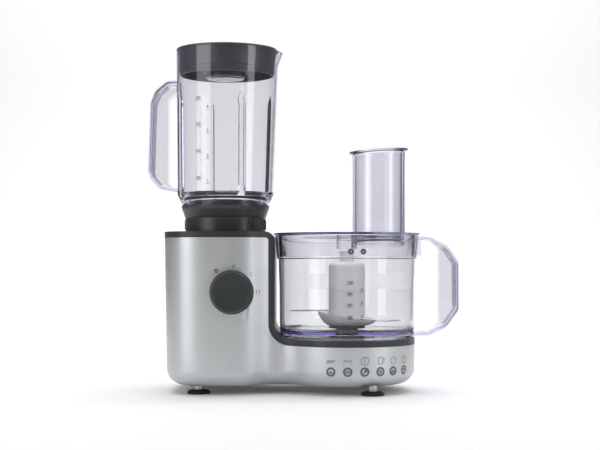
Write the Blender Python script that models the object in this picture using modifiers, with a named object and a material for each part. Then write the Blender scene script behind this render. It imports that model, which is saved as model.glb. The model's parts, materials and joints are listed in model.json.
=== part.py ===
"""Compact food processor with a blender jug, built as separate solids.

The drive unit has a tower on the left, with the motor and the blender jug on top, and a low
round platform on the right, with the mixing bowl. Sizes below are in millimetres and become
metres when a mesh is made. +Z is up, the front faces -Y, and the origin lies on the worktop
under the middle of the object's bounding box.
"""

import math

import bmesh
import bpy
from mathutils import Matrix, Vector

MM = 0.001
GAP = 0.3  # between two pieces that meet

# ---- driving dimensions -------------------------------------------------------------------
MOTOR_X, MOTOR_Y = -86.0, 0.0  # axis of the motor and of the blender jug
BOWL_X, BOWL_Y = 48.3, -12.0  # axis of the bowl, its spindle and its knife
HALF_WIDTH = 171.0  # the two handles end this far left and right
KNOB_FACE_Y, INLET_END_Y = -91.0, 92.8

TOWER_X, TOWER_HALF_X = -91.0, 61.0
TOWER_FRONT_Y, TOWER_BACK_Y = -78.0, 86.0
TOWER_TOP_Z = 174.0
LOBE_R, LOBE_STRETCH = 76.4, 12.5  # round platform under the bowl, drawn out to the rear
PLATFORM_Z = 58.5
UNDERSIDE_Z = 9.2
BOTTOM_ROUND = 17.0
DRAFT = 0.0166  # the walls lean in by this much per millimetre downwards
WALL = 2.4
LIP = 5.0  # flat rim of the housing round the base plate

TOWER_SIDE_X = -30.5  # the tower's flat wall beside the bowl
SIDE_FILLET = 17.0
SIDE_SHOULDER = 10.0
BAND = 6.2  # height of the dark band round the edge of the deck
DECK_WALL = 2.6
SEAT_R = 75.2

BOWL_FOOT_Z, BOWL_FLOOR_Z, BOWL_SEAM_Z, BOWL_RIM_Z = 59.2, 67.5, 144.6, 171.0
LID_TOP_Z = 173.0
TUBE_X, TUBE_Y, TUBE_R, TUBE_TOP_Z = 84.0, 2.0, 29.7, 261.0
TUBE_TILT = math.radians(3.5)  # the feed tube's lip is lower on its left

COLLAR_Z, JUG_FOOT_Z, JUG_RIM_Z = 174.4, 200.0, 374.5
JUG_LID_SKIRT_Z = 347.0
KNOB_X, KNOB_Z, KNOB_R = -75.0, 109.7, 24.0
KNOB_SEAT_Y = -78.0

PULLEY_Z0, PULLEY_Z1 = 22.0, 35.0
MOTOR_PULLEY_R, SPINDLE_PULLEY_R = 9.6, 48.0
FEET = {
    "front_left": (-112.0, -45.0),
    "front_right": (73.7, -65.0),
    "rear_left": (-112.0, 52.0),
    "rear_right": (70.0, 38.0),
}
POST_R = 4.8
BASE_SCREWS = {
    "base_screw_1": (-116.0, 4.0),
    "base_screw_2": (-74.0, 50.0),
    "base_screw_3": (30.0, -45.0),
    "base_screw_4": (30.0, 32.0),
}
BOWL_PIN = (18.3, 33.0)
JUG_PIN = (-86.0, 28.5)
CORD_INLET = (-108.0, 34.0)  # X and Z, in the tower's back

# name: colour, roughness, metallic, alpha
FINISHES = {
    "silver_shell": ((0.60, 0.62, 0.63), 0.35, 0.75, 1.0),
    "dark_trim": ((0.045, 0.050, 0.053), 0.45, 0.0, 1.0),
    "black_plastic": ((0.020, 0.021, 0.022), 0.5, 0.0, 1.0),
    "clear_plastic": ((0.86, 0.87, 0.92), 0.08, 0.0, 0.35),
    "grey_plastic": ((0.62, 0.63, 0.63), 0.4, 0.0, 1.0),
    "rubber": ((0.012, 0.012, 0.012), 0.8, 0.0, 1.0),
    "steel": ((0.55, 0.55, 0.56), 0.25, 1.0, 1.0),
    "laminated_iron": ((0.30, 0.30, 0.31), 0.45, 0.9, 1.0),
    "copper": ((0.72, 0.35, 0.18), 0.35, 0.9, 1.0),
    "green_board": ((0.04, 0.22, 0.10), 0.5, 0.0, 1.0),
    "white_nylon": ((0.80, 0.80, 0.77), 0.5, 0.0, 1.0),
}


# ---- scene --------------------------------------------------------------------------------
def clear_scene():
    for obj in list(bpy.data.objects):
        bpy.data.objects.remove(obj)


def make_materials():
    for name, (colour, roughness, metallic, alpha) in FINISHES.items():
        mat = bpy.data.materials.new(name)
        mat.use_nodes = True
        shader = mat.node_tree.nodes["Principled BSDF"]
        shader.inputs["Base Color"].default_value = (*colour, 1.0)
        shader.inputs["Roughness"].default_value = roughness
        shader.inputs["Metallic"].default_value = metallic
        shader.inputs["Alpha"].default_value = alpha


def collection(name):
    made = bpy.data.collections.get(name) or bpy.data.collections.new(name)
    if made.name not in bpy.context.scene.collection.children:
        bpy.context.scene.collection.children.link(made)
    return made


def add(name, mesh, finish=None):
    """A new object for a mesh. One with a finish is a part, and one without is a cutter or a blank."""
    obj = bpy.data.objects.new(name, mesh)
    if finish:
        collection("food_processor").objects.link(obj)
        mesh.materials.clear()
        mesh.materials.append(bpy.data.materials[finish])
    else:
        collection("cutters").objects.link(obj)
        obj.hide_render = True
        obj.display_type = "WIRE"
    return obj


def settle(obj):
    """Replaces the object's data by its evaluated mesh, welded, and drops its modifiers."""
    graph = bpy.context.evaluated_depsgraph_get()
    mesh = bpy.data.meshes.new_from_object(obj.evaluated_get(graph))
    bm = bmesh.new()
    bm.from_mesh(mesh)
    bmesh.ops.remove_doubles(bm, verts=bm.verts, dist=0.002 * MM)
    bm.to_mesh(mesh)
    bm.free()
    if obj.type == "MESH":
        obj.modifiers.clear()
        obj.data = mesh
        return obj
    made = bpy.data.objects.new(obj.name, mesh)
    for group in obj.users_collection:
        group.objects.link(made)
    made.matrix_world = obj.matrix_world.copy()
    made.hide_render, made.display_type = obj.hide_render, obj.display_type
    name = obj.name
    bpy.data.objects.remove(obj)
    made.name = name
    return made


def boolean(obj, other, operation):
    """Applies one Boolean and removes the other object."""
    modifier = obj.modifiers.new(operation.lower(), "BOOLEAN")
    modifier.operation = operation
    modifier.object = other
    bpy.context.view_layer.update()
    settle(obj)
    bpy.data.objects.remove(other)
    return obj


def cut(obj, *others):
    for other in others:
        boolean(obj, other, "DIFFERENCE")
    return obj


def join(obj, *others):
    for other in others:
        boolean(obj, other, "UNION")
    return obj


def keep_common(obj, other):
    return boolean(obj, other, "INTERSECT")


def shade(obj, angle=35.0):
    obj.data.shade_smooth()
    obj.data.set_sharp_from_angle(angle=math.radians(angle))
    return obj


# ---- shapes -------------------------------------------------------------------------------
def turned(name, profile, at=(0.0, 0.0), finish=None, segments=32, closed=True, axis="Z"):
    """A profile of (radius, height) pairs turned about a vertical axis through `at`.

    The profile runs down the outer side. A closed one comes back up the inner side, and an open
    one starts and ends on the axis. With axis="Y", height is measured along +Y, and `at` is (X, Z).
    """
    mesh = bpy.data.meshes.new(name)
    count = len(profile)
    edges = [(i, i + 1) for i in range(count - 1)] + ([(count - 1, 0)] if closed else [])
    mesh.from_pydata([(r * MM, 0.0, z * MM) for r, z in profile], edges, [])
    obj = add(name, mesh, finish)
    screw = obj.modifiers.new("turn", "SCREW")
    screw.steps = screw.render_steps = segments
    screw.use_merge_vertices = True
    screw.merge_threshold = 0.00001
    screw.use_normal_calculate = False
    settle(obj)
    if axis == "Y":
        obj.data.transform(Matrix.Rotation(math.radians(-90), 4, "X"))
        obj.data.transform(Matrix.Translation((at[0] * MM, 0.0, at[1] * MM)))
    else:
        obj.data.transform(Matrix.Translation((at[0] * MM, at[1] * MM, 0.0)))
    return shade(obj)


def ring_profile(outer, inner, top, bottom):
    return [(outer, top), (outer, bottom), (inner, bottom), (inner, top)]


def disc_profile(radius, top, bottom):
    return [(0.0, top), (radius, top), (radius, bottom), (0.0, bottom)]


def cylinder(name, radius, bottom, top, at, finish=None, segments=24, axis="Z"):
    return turned(name, disc_profile(radius, top, bottom), at, finish, segments, closed=False, axis=axis)


def tube(name, outer, inner, bottom, top, at, finish=None, segments=24):
    return turned(name, ring_profile(outer, inner, top, bottom), at, finish, segments)


def box(name, low, high, finish=None):
    bm = bmesh.new()
    bmesh.ops.create_cube(bm, size=1.0)
    size = [(b - a) * MM for a, b in zip(low, high)]
    middle = [(a + b) / 2 * MM for a, b in zip(low, high)]
    bmesh.ops.transform(bm, matrix=Matrix.Translation(middle) @ Matrix.Diagonal((*size, 1.0)), verts=bm.verts)
    mesh = bpy.data.meshes.new(name)
    bm.to_mesh(mesh)
    bm.free()
    return add(name, mesh, finish)


def flat(name, outlines, bottom, top, finish=None):
    """Flat outlines, the first one outside and the others holes, as a plate from bottom to top."""
    curve = bpy.data.curves.new(name, "CURVE")
    curve.dimensions = "2D"
    curve.fill_mode = "BOTH"
    curve.extrude = (top - bottom) / 2 * MM
    for outline in outlines:
        spline = curve.splines.new("POLY")
        spline.points.add(len(outline) - 1)
        spline.use_cyclic_u = True
        for point, (x, y) in zip(spline.points, outline):
            point.co = (x * MM, y * MM, 0.0, 1.0)
    obj = bpy.data.objects.new(name, curve)
    collection("food_processor" if finish else "cutters").objects.link(obj)
    if finish:
        curve.materials.append(bpy.data.materials[finish])
    else:
        obj.hide_render, obj.display_type = True, "WIRE"
    obj.location.z = (bottom + top) / 2 * MM
    bpy.context.view_layer.update()
    obj = settle(obj)
    obj.data.transform(obj.matrix_world)
    obj.matrix_world = Matrix.Identity(4)
    return obj


def loft(name, rings, finish=None):
    """A solid through rings of equally many points, with a flat cap on the first and the last."""
    bm = bmesh.new()
    rows = [[bm.verts.new(Vector(p) * MM) for p in ring] for ring in rings]
    count = len(rings[0])
    for lower, upper in zip(rows, rows[1:]):
        for i in range(count):
            j = (i + 1) % count
            bm.faces.new((lower[i], lower[j], upper[j], upper[i]))
    bm.faces.new(reversed(rows[0]))
    bm.faces.new(rows[-1])
    bmesh.ops.recalc_face_normals(bm, faces=bm.faces)
    mesh = bpy.data.meshes.new(name)
    bm.to_mesh(mesh)
    bm.free()
    return shade(add(name, mesh, finish))


def circle(radius, at, count, start=0.0):
    angles = [start + math.tau * i / count for i in range(count)]
    return [(at[0] + radius * math.cos(a), at[1] + radius * math.sin(a)) for a in angles]


def star(at, outer, inner, lobes):
    """An outline that swings between two radii, for splines and fluted cores."""
    points = []
    for i in range(4 * lobes):
        angle = math.tau * i / (4 * lobes)
        radius = outer if i % 4 in (0, 1) else inner
        points.append((at[0] + radius * math.cos(angle), at[1] + radius * math.sin(angle)))
    return points


def sector(at, outer, inner, middle, half, steps=6):
    """An arched outline between two radii, `half` either side of the angle `middle`, in degrees."""
    angles = [math.radians(middle - half + 2 * half * i / steps) for i in range(steps + 1)]
    arc = [(at[0] + outer * math.cos(a), at[1] + outer * math.sin(a)) for a in angles]
    back = [(at[0] + inner * math.cos(a), at[1] + inner * math.sin(a)) for a in reversed(angles)]
    return arc + back


# ---- the drive unit's outline in plan -----------------------------------------------------
OUTLINE_POINTS = 50
OUTLINE_CENTRE = (-22.0, -4.0)
TOWER_SQUARENESS = 3.0
BRIDGE_FRONT_Y, BRIDGE_BACK_Y = -56.0, 64.0
WAIST_BLEND = 14.0


def blended(a, b):
    """The smaller of two distances, rounded off where they are close."""
    overlap = max(WAIST_BLEND - abs(a - b), 0.0)
    return min(a, b) - overlap * overlap / (4 * WAIST_BLEND)


def outline_value(x, y):
    """Below zero inside the squarish tower, the round platform or the bridge between them."""
    middle_y = (TOWER_FRONT_Y + TOWER_BACK_Y) / 2
    half_y = (TOWER_BACK_Y - TOWER_FRONT_Y) / 2
    n = TOWER_SQUARENESS
    across = abs((x - TOWER_X) / TOWER_HALF_X) ** n + abs((y - middle_y) / half_y) ** n
    tower = (across ** (1 / n) - 1) * TOWER_HALF_X
    past_axis = min(max(y - BOWL_Y, 0.0), LOBE_STRETCH)
    lobe = math.hypot(x - BOWL_X, y - BOWL_Y - past_axis) - LOBE_R
    bridge = max(abs(x + 24.0) - 44.0, BRIDGE_FRONT_Y - y, y - BRIDGE_BACK_Y)
    return blended(blended(tower, lobe), bridge)


def outline_radius(angle):
    low, high = 1.0, 200.0
    for _ in range(40):
        middle = (low + high) / 2
        x = OUTLINE_CENTRE[0] + middle * math.cos(angle)
        y = OUTLINE_CENTRE[1] + middle * math.sin(angle)
        low, high = (middle, high) if outline_value(x, y) < 0 else (low, middle)
    return low


def plan_outline():
    """Points at equal steps along the outline, each with its outward direction."""
    fine = 720
    points = []
    for i in range(fine):
        angle = math.tau * i / fine
        radius = outline_radius(angle)
        points.append(Vector(OUTLINE_CENTRE) + radius * Vector((math.cos(angle), math.sin(angle))))
    lengths = [(points[(i + 1) % fine] - points[i]).length for i in range(fine)]
    step = sum(lengths) / OUTLINE_POINTS
    chosen, walked = [], 0.0
    for i in range(fine):
        if walked >= len(chosen) * step and len(chosen) < OUTLINE_POINTS:
            along = (points[(i + 1) % fine] - points[i - 1]).normalized()
            chosen.append((points[i], Vector((along.y, -along.x))))
        walked += lengths[i]
    return chosen


PLAN = plan_outline()


def plan_ring(inset, z):
    return [(p.x - n.x * inset, p.y - n.y * inset, z) for p, n in PLAN]


def draft_inset(z):
    return DRAFT * (TOWER_TOP_Z - z)


def body_rings(inset, bottom=UNDERSIDE_Z):
    """The outer form, `inset` inside its skin, from the rounded underside to above the tower."""
    centre_z = UNDERSIDE_Z + BOTTOM_ROUND
    radius = BOTTOM_ROUND - inset
    rings = []
    for degrees in (90.0, 60.0, 30.0):
        a = math.radians(degrees)
        further_in = draft_inset(centre_z) + inset + radius * (1 - math.cos(a))
        rings.append(plan_ring(further_in, centre_z - radius * math.sin(a)))
    for z in (centre_z, TOWER_TOP_Z + 6):
        rings.append(plan_ring(draft_inset(z) + inset, z))
    if bottom < UNDERSIDE_Z:
        mouth = draft_inset(centre_z) + BOTTOM_ROUND + LIP
        rings = [plan_ring(mouth, bottom), plan_ring(mouth, centre_z - radius)] + rings
    return rings


def side_profile(grow):
    """The outline over the tower, down its flat side and over the platform, `grow` bigger."""
    points = [(300.0, 300.0), (-300.0, 300.0), (-300.0, TOWER_TOP_Z - grow)]
    top_x, top_z = TOWER_SIDE_X - SIDE_SHOULDER, TOWER_TOP_Z - SIDE_SHOULDER
    for degrees in (90, 60, 30, 0):
        a, r = math.radians(degrees), SIDE_SHOULDER - grow
        points.append((top_x + r * math.cos(a), top_z + r * math.sin(a)))
    foot_x, foot_z = TOWER_SIDE_X + SIDE_FILLET, PLATFORM_Z + SIDE_FILLET
    for degrees in (180, 198, 216, 234, 252, 270):
        a, r = math.radians(degrees), SIDE_FILLET + grow
        points.append((foot_x + r * math.cos(a), foot_z + r * math.sin(a)))
    return points + [(300.0, PLATFORM_Z - grow)]


def above_deck(name, grow):
    """The space above the deck, `grow` bigger, as a cutter that runs from front to back."""
    profile = side_profile(grow)
    return loft(name, [[(x, y, z) for x, z in profile] for y in (-200.0, 200.0)])


# ---- the drive unit's casings -------------------------------------------------------------
def make_housing():
    """The silver casing, open above along the deck's edge and below round the base plate."""
    knob = (KNOB_X, KNOB_Z)
    housing = loft("outer_housing", body_rings(0.0), "silver_shell")
    join(housing, cylinder("knob_seat", KNOB_R - 1.5, KNOB_SEAT_Y, -60, knob, segments=32, axis="Y"))
    cut(housing, loft("hollow", body_rings(WALL, bottom=0.0)), above_deck("deck_space", BAND + GAP))
    cut(housing, cylinder("knob_hole", 5.5, -100, -60, knob, segments=16, axis="Y"))
    cut(housing, cylinder("cord_hole", 7.3, 60, 110, CORD_INLET, segments=16, axis="Y"))
    cut(housing, cylinder("post_hole", POST_R + GAP, 0, 20, FEET["front_right"], segments=16))
    return shade(housing)


def make_deck():
    """The dark top of the drive unit: tower top, flat side wall and platform in one piece."""
    motor, bowl = (MOTOR_X, MOTOR_Y), (BOWL_X, BOWL_Y)
    deck = loft("top_deck", body_rings(0.0), "dark_trim")
    keep_common(deck, above_deck("band", BAND))
    inside = loft("inside", body_rings(WALL))
    cut(inside, above_deck("skin", DECK_WALL))
    cut(deck, above_deck("space", 0.0), inside)
    cut(deck, cylinder("bowl_seat", SEAT_R, PLATFORM_Z, 300.0, bowl, segments=48))
    join(deck, tube("jug_boss", 39.0, 36.4, TOWER_TOP_Z - 1.2, 181.0, motor, segments=24))
    join(deck, tube("bowl_boss", 32.0, 21.0, PLATFORM_Z - 1.2, 62.5, bowl, segments=24))
    cut(
        deck,
        cylinder("coupling_hole", 17.5, 160, 190, motor, segments=24),
        cylinder("spindle_hole", 19.8, 40, 80, bowl, segments=24),
        cylinder("bowl_pin_hole", 3.4, 40, 80, BOWL_PIN, segments=12),
        cylinder("jug_pin_hole", 3.4, 160, 190, JUG_PIN, segments=12),
    )
    return shade(deck)


def make_base_plate():
    """The plate that closes the housing from below, with air slots under the motor."""
    mouth = draft_inset(UNDERSIDE_Z + BOTTOM_ROUND) + BOTTOM_ROUND + LIP + GAP
    outline = [(x, y) for x, y, _ in plan_ring(mouth, 0.0)]
    low, high = UNDERSIDE_Z, UNDERSIDE_Z + 2.6
    plate = flat("base_plate", [outline], low, high, "dark_trim")
    for at in BASE_SCREWS.values():
        cut(plate, cylinder("screw_hole", 2.2, low - 5, high + 5, at, segments=10))
    for place in ("front_left", "rear_left", "rear_right"):
        cut(plate, cylinder("post_hole", POST_R + GAP, low - 5, high + 5, FEET[place], segments=16))
    for i in range(6):
        x = MOTOR_X - 22 + 8.0 * i
        cut(plate, box("air_slot", (x - 1.6, 16.0, low - 5), (x + 1.6, 44.0, high + 5)))
    return plate


def make_feet():
    for place, at in FEET.items():
        cylinder(f"foot_post_{place}", POST_R, 4.3 + GAP, 13.0, at, "silver_shell", segments=16)
        profile = [(0.0, 4.3), (9.0, 4.3), (12.2, 2.6), (12.6, 1.2), (11.6, 0.0), (0.0, 0.0)]
        turned(f"rubber_foot_{place}", profile, at, "rubber", segments=16, closed=False)
    for name, at in BASE_SCREWS.items():
        profile = [(0.0, 20.0), (1.7, 20.0), (1.7, 9.0), (3.9, 9.0), (3.4, 6.8), (0.0, 6.8)]
        turned(name, profile, at, "steel", segments=10, closed=False)


def make_cord_inlet():
    """The round nozzle that the mains cord comes out of."""
    back = TOWER_BACK_Y - DRAFT * 140
    profile = [
        (0.0, INLET_END_Y), (6.6, INLET_END_Y), (9.4, back + 4.0), (9.4, back + 1.0), (6.8, back + 1.0),
        (6.8, back - 9), (0.0, back - 9),
    ]
    inlet = turned("cord_inlet", profile, CORD_INLET, "black_plastic", 16, closed=False, axis="Y")
    cut(inlet, cylinder("cord_bore", 3.6, 60, 110, CORD_INLET, segments=12, axis="Y"))
    return shade(inlet)


# ---- the motor and the drive --------------------------------------------------------------
def make_bracket(name, plate, legs):
    """A bar across the motor with a ring round its bearing, and two legs to the stator."""
    x, y = MOTOR_X, MOTOR_Y
    low, high = plate
    bar = box(name, (x - 41, y - 9, low), (x + 41, y + 9, high), "steel")
    join(bar, cylinder("ring", 15.0, low - 1.5, high + 1.5, (x, y), segments=20))
    for side in (-1, 1):
        a, b = sorted((side * 35, side * 40.6))
        join(bar, box("leg", (x + a, y - 8, legs[0]), (x + b, y + 8, legs[1])))
    return cut(bar, cylinder("seat", 11.3, low - 10, high + 10, (x, y), segments=20))


def make_motor():
    at = (MOTOR_X, MOTOR_Y)
    stator = tube("motor_stator", 40.0, 34.0, 66.0, 106.0, at, "laminated_iron", 28)
    for middle in (0, 180):
        join(stator, flat("pole", [sector(at, 36.0, 25.4, middle, 46, 6)], 66.6, 105.4))
    shade(stator)
    flat("field_coil_front", [sector(at, 33.3, 26.2, 270, 36)], 60.5, 112.0, "copper")
    flat("field_coil_rear", [sector(at, 33.3, 26.2, 90, 36)], 60.5, 112.0, "copper")
    make_bracket("motor_lower_bracket", (42.0, 46.0), (45.0, 65.7))
    make_bracket("motor_upper_bracket", (132.0, 136.0), (106.3, 133.0))
    tube("lower_bearing", 11.0, 4.4, 41.0, 47.0, at, "steel", 20)
    tube("upper_bearing", 11.0, 4.4, 131.0, 137.0, at, "steel", 20)
    for side, name in ((-1, "brush_holder_left"), (1, "brush_holder_right")):
        a, b = sorted((side * 12.0, side * 31.0))
        box(name, (at[0] + a, at[1] - 5, 116), (at[0] + b, at[1] + 5, 125), "black_plastic")

    cylinder("motor_shaft", 4.0, 18.0, 164.0, at, "steel", 16)
    rotor = flat("rotor_core", [star(at, 24.6, 21.5, 10)], 66.0, 106.0, "laminated_iron")
    cut(rotor, cylinder("shaft_bore", 4.3, 60, 120, at, segments=16))
    tube("commutator", 11.5, 4.3, 113.0, 127.0, at, "copper", 20)
    fan = flat("cooling_fan", [star(at, 31.0, 15.0, 8)], 50.5, 57.5, "white_nylon")
    cut(fan, cylinder("fan_bore", 4.3, 40, 70, at, segments=16))
    pulley = [
        (12.0, PULLEY_Z1), (12.0, PULLEY_Z1 - 1.5), (MOTOR_PULLEY_R, PULLEY_Z1 - 1.5),
        (MOTOR_PULLEY_R, PULLEY_Z0 + 1.5), (12.0, PULLEY_Z0 + 1.5), (12.0, PULLEY_Z0),
        (4.3, PULLEY_Z0), (4.3, PULLEY_Z1),
    ]
    turned("motor_pulley", pulley, at, "steel", 16)
    make_jug_coupling()


def make_jug_coupling():
    """The socket on the motor shaft and the star on the blade shaft that drops into it."""
    at = (MOTOR_X, MOTOR_Y)
    socket = cylinder("jug_drive_coupling", 15.0, 158.0, 182.0, at, "black_plastic", 20)
    cut(
        socket,
        flat("star_socket", [star(at, 10.6, 8.2, 6)], 168.0, 190.0),
        cylinder("shaft_socket", 4.3, 150.0, 165.0, at, segments=16),
    )
    star_drive = flat("jug_driven_star", [star(at, 10.0, 7.6, 6)], 169.0, 189.0, "black_plastic")
    cut(star_drive, cylinder("blade_shaft_bore", 4.3, 176.0, 195.0, at, segments=12))


def make_belt_drive():
    bowl = (BOWL_X, BOWL_Y)
    rim, web = SPINDLE_PULLEY_R, 5.0
    middle = (PULLEY_Z0 + PULLEY_Z1) / 2
    profile = [
        (rim, PULLEY_Z1), (rim, PULLEY_Z0), (rim - 4, PULLEY_Z0), (rim - 4, middle - web / 2),
        (12.0, middle - web / 2), (12.0, PULLEY_Z0), (5.3, PULLEY_Z0), (5.3, PULLEY_Z1),
        (12.0, PULLEY_Z1), (12.0, middle + web / 2), (rim - 4, middle + web / 2), (rim - 4, PULLEY_Z1),
    ]
    turned("spindle_pulley", profile, bowl, "white_nylon", 28)
    make_belt(PULLEY_Z0 + 2.2, PULLEY_Z1 - 2.2)

    spindle = cylinder("bowl_spindle", 5.0, 18.0, 66.0, bowl, "steel", 16)
    join(spindle, flat("hex_head", [circle(6.0, bowl, 6)], 65.0, 80.0))
    shade(spindle)
    carrier = [
        (19.4, 64.4), (19.4, 51.6), (30.0, 51.6), (30.0, 48.6), (12.0, 48.6), (12.0, 38.5), (8.6, 38.5),
        (8.6, 64.4),
    ]
    turned("spindle_carrier", carrier, bowl, "dark_trim", 24)
    tube("spindle_bush", 8.2, 5.4, 38.8, 60.0, bowl, "copper", 20)


def make_belt(bottom, top):
    """A flat belt round both pulleys: two arcs joined by their outer tangents."""
    small, large = Vector((MOTOR_X, MOTOR_Y)), Vector((BOWL_X, BOWL_Y))
    across = large - small
    heading = math.atan2(across.y, across.x)
    lean = math.acos((SPINDLE_PULLEY_R - MOTOR_PULLEY_R) / across.length)

    def loop(extra):
        points = []
        for centre, radius, start, end, steps in (
            (large, SPINDLE_PULLEY_R + extra, math.pi - lean, -(math.pi - lean), 26),
            (small, MOTOR_PULLEY_R + extra, -(math.pi - lean), -(math.pi + lean), 8),
        ):
            for i in range(steps + 1):
                a = heading + start + (end - start) * i / steps
                points.append((centre.x + radius * math.cos(a), centre.y + radius * math.sin(a)))
        return points

    flat("drive_belt", [loop(2.0), loop(0.45)], bottom, top, "rubber")


def make_controls():
    """The rotary switch, the knob with its spindle, and the circuit board behind the motor."""
    knob = (KNOB_X, KNOB_Z)
    low = (KNOB_X - 15, -69.5, KNOB_Z - 15)
    high = (KNOB_X + 15, -50.0, KNOB_Z + 15)
    rotary = box("rotary_switch", low, high, "black_plastic")
    cut(rotary, cylinder("spindle_socket", 3.7, -90, -58, knob, segments=12, axis="Y"))
    back, face = KNOB_SEAT_Y - GAP, KNOB_FACE_Y
    profile = [
        (0.0, -60.0), (3.3, -60.0), (3.3, back), (KNOB_R, back), (KNOB_R, back - 2.2),
        (KNOB_R - 1.2, back - 3.2), (KNOB_R - 1.8, face + 1.2), (KNOB_R - 3.0, face), (0.0, face),
    ]
    turned("control_knob", profile, knob, "dark_trim", 28, closed=False, axis="Y")
    box("control_board", (-136.0, 60.0, 70.0), (-60.0, 61.6, 130.0), "green_board")


def make_interlock(name, at, top, collar_top, switch_z):
    """A sprung pin that a fitted bowl or jug presses, with its spring and the switch below it."""
    pin = [
        (0.0, top), (2.2, top), (3.0, top - 0.8), (3.0, collar_top), (4.6, collar_top),
        (4.6, collar_top - 1.6), (1.6, collar_top - 1.6), (1.6, collar_top - 9), (0.0, collar_top - 9),
    ]
    turned(f"{name}_interlock_pin", pin, at, "black_plastic", 12, closed=False)
    turns, per_turn = 3.0, 7
    low, high = switch_z + 0.9, collar_top - 2.6
    curve = bpy.data.curves.new(f"{name}_interlock_spring", "CURVE")
    curve.dimensions = "3D"
    curve.bevel_depth = 0.4 * MM
    curve.bevel_resolution = 1
    curve.use_fill_caps = True
    spline = curve.splines.new("POLY")
    count = int(turns * per_turn) + 1
    spline.points.add(count - 1)
    for i, point in enumerate(spline.points):
        a = math.tau * i / per_turn
        z = low + (high - low) * i / (count - 1)
        point.co = ((at[0] + 3.4 * math.cos(a)) * MM, (at[1] + 3.4 * math.sin(a)) * MM, z * MM, 1.0)
    spring = bpy.data.objects.new(curve.name, curve)
    curve.materials.append(bpy.data.materials["steel"])
    collection("food_processor").objects.link(spring)
    settle(spring)
    box(
        f"{name}_microswitch",
        (at[0] - 5, at[1] - 8, switch_z - 6), (at[0] + 5, at[1] + 8, switch_z), "black_plastic",
    )


# ---- handles ------------------------------------------------------------------------------
HANDLE_WIDTH, HANDLE_WALL = 25.0, 2.8


def rounded_path(points, radii, steps=3):
    """Points and headings along a flat path through corners, each corner rounded by an arc."""
    heading = (Vector(points[1]) - Vector(points[0])).normalized()
    path = [(Vector(points[0]), heading)]
    for before, corner, after, radius in zip(points, points[1:], points[2:], radii):
        before, corner, after = Vector(before), Vector(corner), Vector(after)
        a, b = (before - corner).normalized(), (after - corner).normalized()
        half = math.acos(max(-1.0, min(1.0, a.dot(b)))) / 2
        reach = radius / math.tan(half)
        centre = corner + (a + b).normalized() * radius / math.sin(half)
        first, last = corner + a * reach - centre, corner + b * reach - centre
        angle = first.angle_signed(last)
        for i in range(steps + 1):
            turn = Matrix.Rotation(-angle * i / steps, 2)
            path.append((centre + turn @ first, turn @ -a))
    heading = (Vector(points[-1]) - Vector(points[-2])).normalized()
    return path + [(Vector(points[-1]), heading)]


def grip_handle(name, at, outer, finger, radii, finger_radii, inward):
    """A handle of two flat flanges joined by a web along the outer edge, open on the finger side.

    Both outlines are corners in the X-Z plane from the upper root to the lower one, and `inward`
    is the side of them, +1 or -1, that the fingers go in.
    """
    edge, gap = rounded_path(outer, radii), rounded_path(finger, finger_radii)

    def moved(path, distance):
        return [point + Vector((-along.y, along.x)) * inward * distance for point, along in path]

    def ring(y, edge_in, finger_in):
        outline = moved(edge, edge_in) + moved(gap, finger_in)[::-1]
        return [(at[0] + p.x, at[1] + y, p.y) for p in outline]

    half, soft, slot = HANDLE_WIDTH / 2, 1.2, HANDLE_WIDTH / 2 - HANDLE_WALL
    sides = ((-half, soft), (soft - half, 0.0), (half - soft, 0.0), (half, soft))
    handle = loft(name, [ring(y, inset, 0.0) for y, inset in sides])
    cut(handle, loft("channel", [ring(-slot, HANDLE_WALL, 3.0), ring(slot, HANDLE_WALL, 3.0)]))
    return handle


# ---- the blender jug ----------------------------------------------------------------------
JUG_SEGMENTS = 36
JUG_R_TOP, JUG_R_LOW, JUG_WALL = 54.5, 52.2, 2.6
SPOUT_REACH, SPOUT_Z = 9.0, 346.0
SPOUT_SHARES = {0: 1.0, 10: 0.5, 20: 0.1}  # of the reach, at these angles either side
RIB_ANGLES = (-67.0, 23.0, 113.0, 203.0)


def make_blade_unit():
    """The screw-off collar that carries the blades, with its seal."""
    at = (MOTOR_X, MOTOR_Y)
    profile = [
        (43.2, 210.5), (43.2, 198.2), (47.0, 198.2), (47.0, 203.6), (48.3, 203.6), (47.2, 199.0),
        (44.4, 193.0), (43.4, 189.6), (43.4, COLLAR_Z), (40.9, COLLAR_Z), (40.9, 191.0),
        (38.0, 193.4), (4.6, 193.4), (4.6, 198.5), (39.4, 198.5), (40.6, 210.5),
    ]
    turned("blade_carrier", profile, at, "dark_trim", 30)
    tube("jug_seal_ring", 46.5, 43.8, 198.5, 199.6, at, "rubber", 24)
    cylinder("jug_blade_shaft", 4.0, 178.0, 208.0, at, "steel", 16)
    make_jug_blades(at)


def make_jug_blades(at):
    """Four prongs on one hub, two bent up and two bent down."""
    hub = tube("jug_blades", 8.0, 4.3, 200.6, 205.4, at, "steel", 16)
    for degrees, rise in ((0, 11.0), (180, 11.0), (90, 4.0), (270, 4.0)):
        rings = []
        for r, lift, half in ((5.6, 0.0, 3.4), (12.0, 0.0, 4.6), (24.0, rise, 1.2)):
            z = 203.0 + lift
            rings.append([(r, -half, z - 0.8), (r, half, z - 0.8), (r, half, z + 0.8), (r, -half, z + 0.8)])
        prong = loft("prong", rings)
        turn = Matrix.Rotation(math.radians(degrees + 25), 4, "Z")
        prong.data.transform(Matrix.Translation((at[0] * MM, at[1] * MM, 0.0)) @ turn)
        join(hub, prong)
    return shade(hub)


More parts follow.
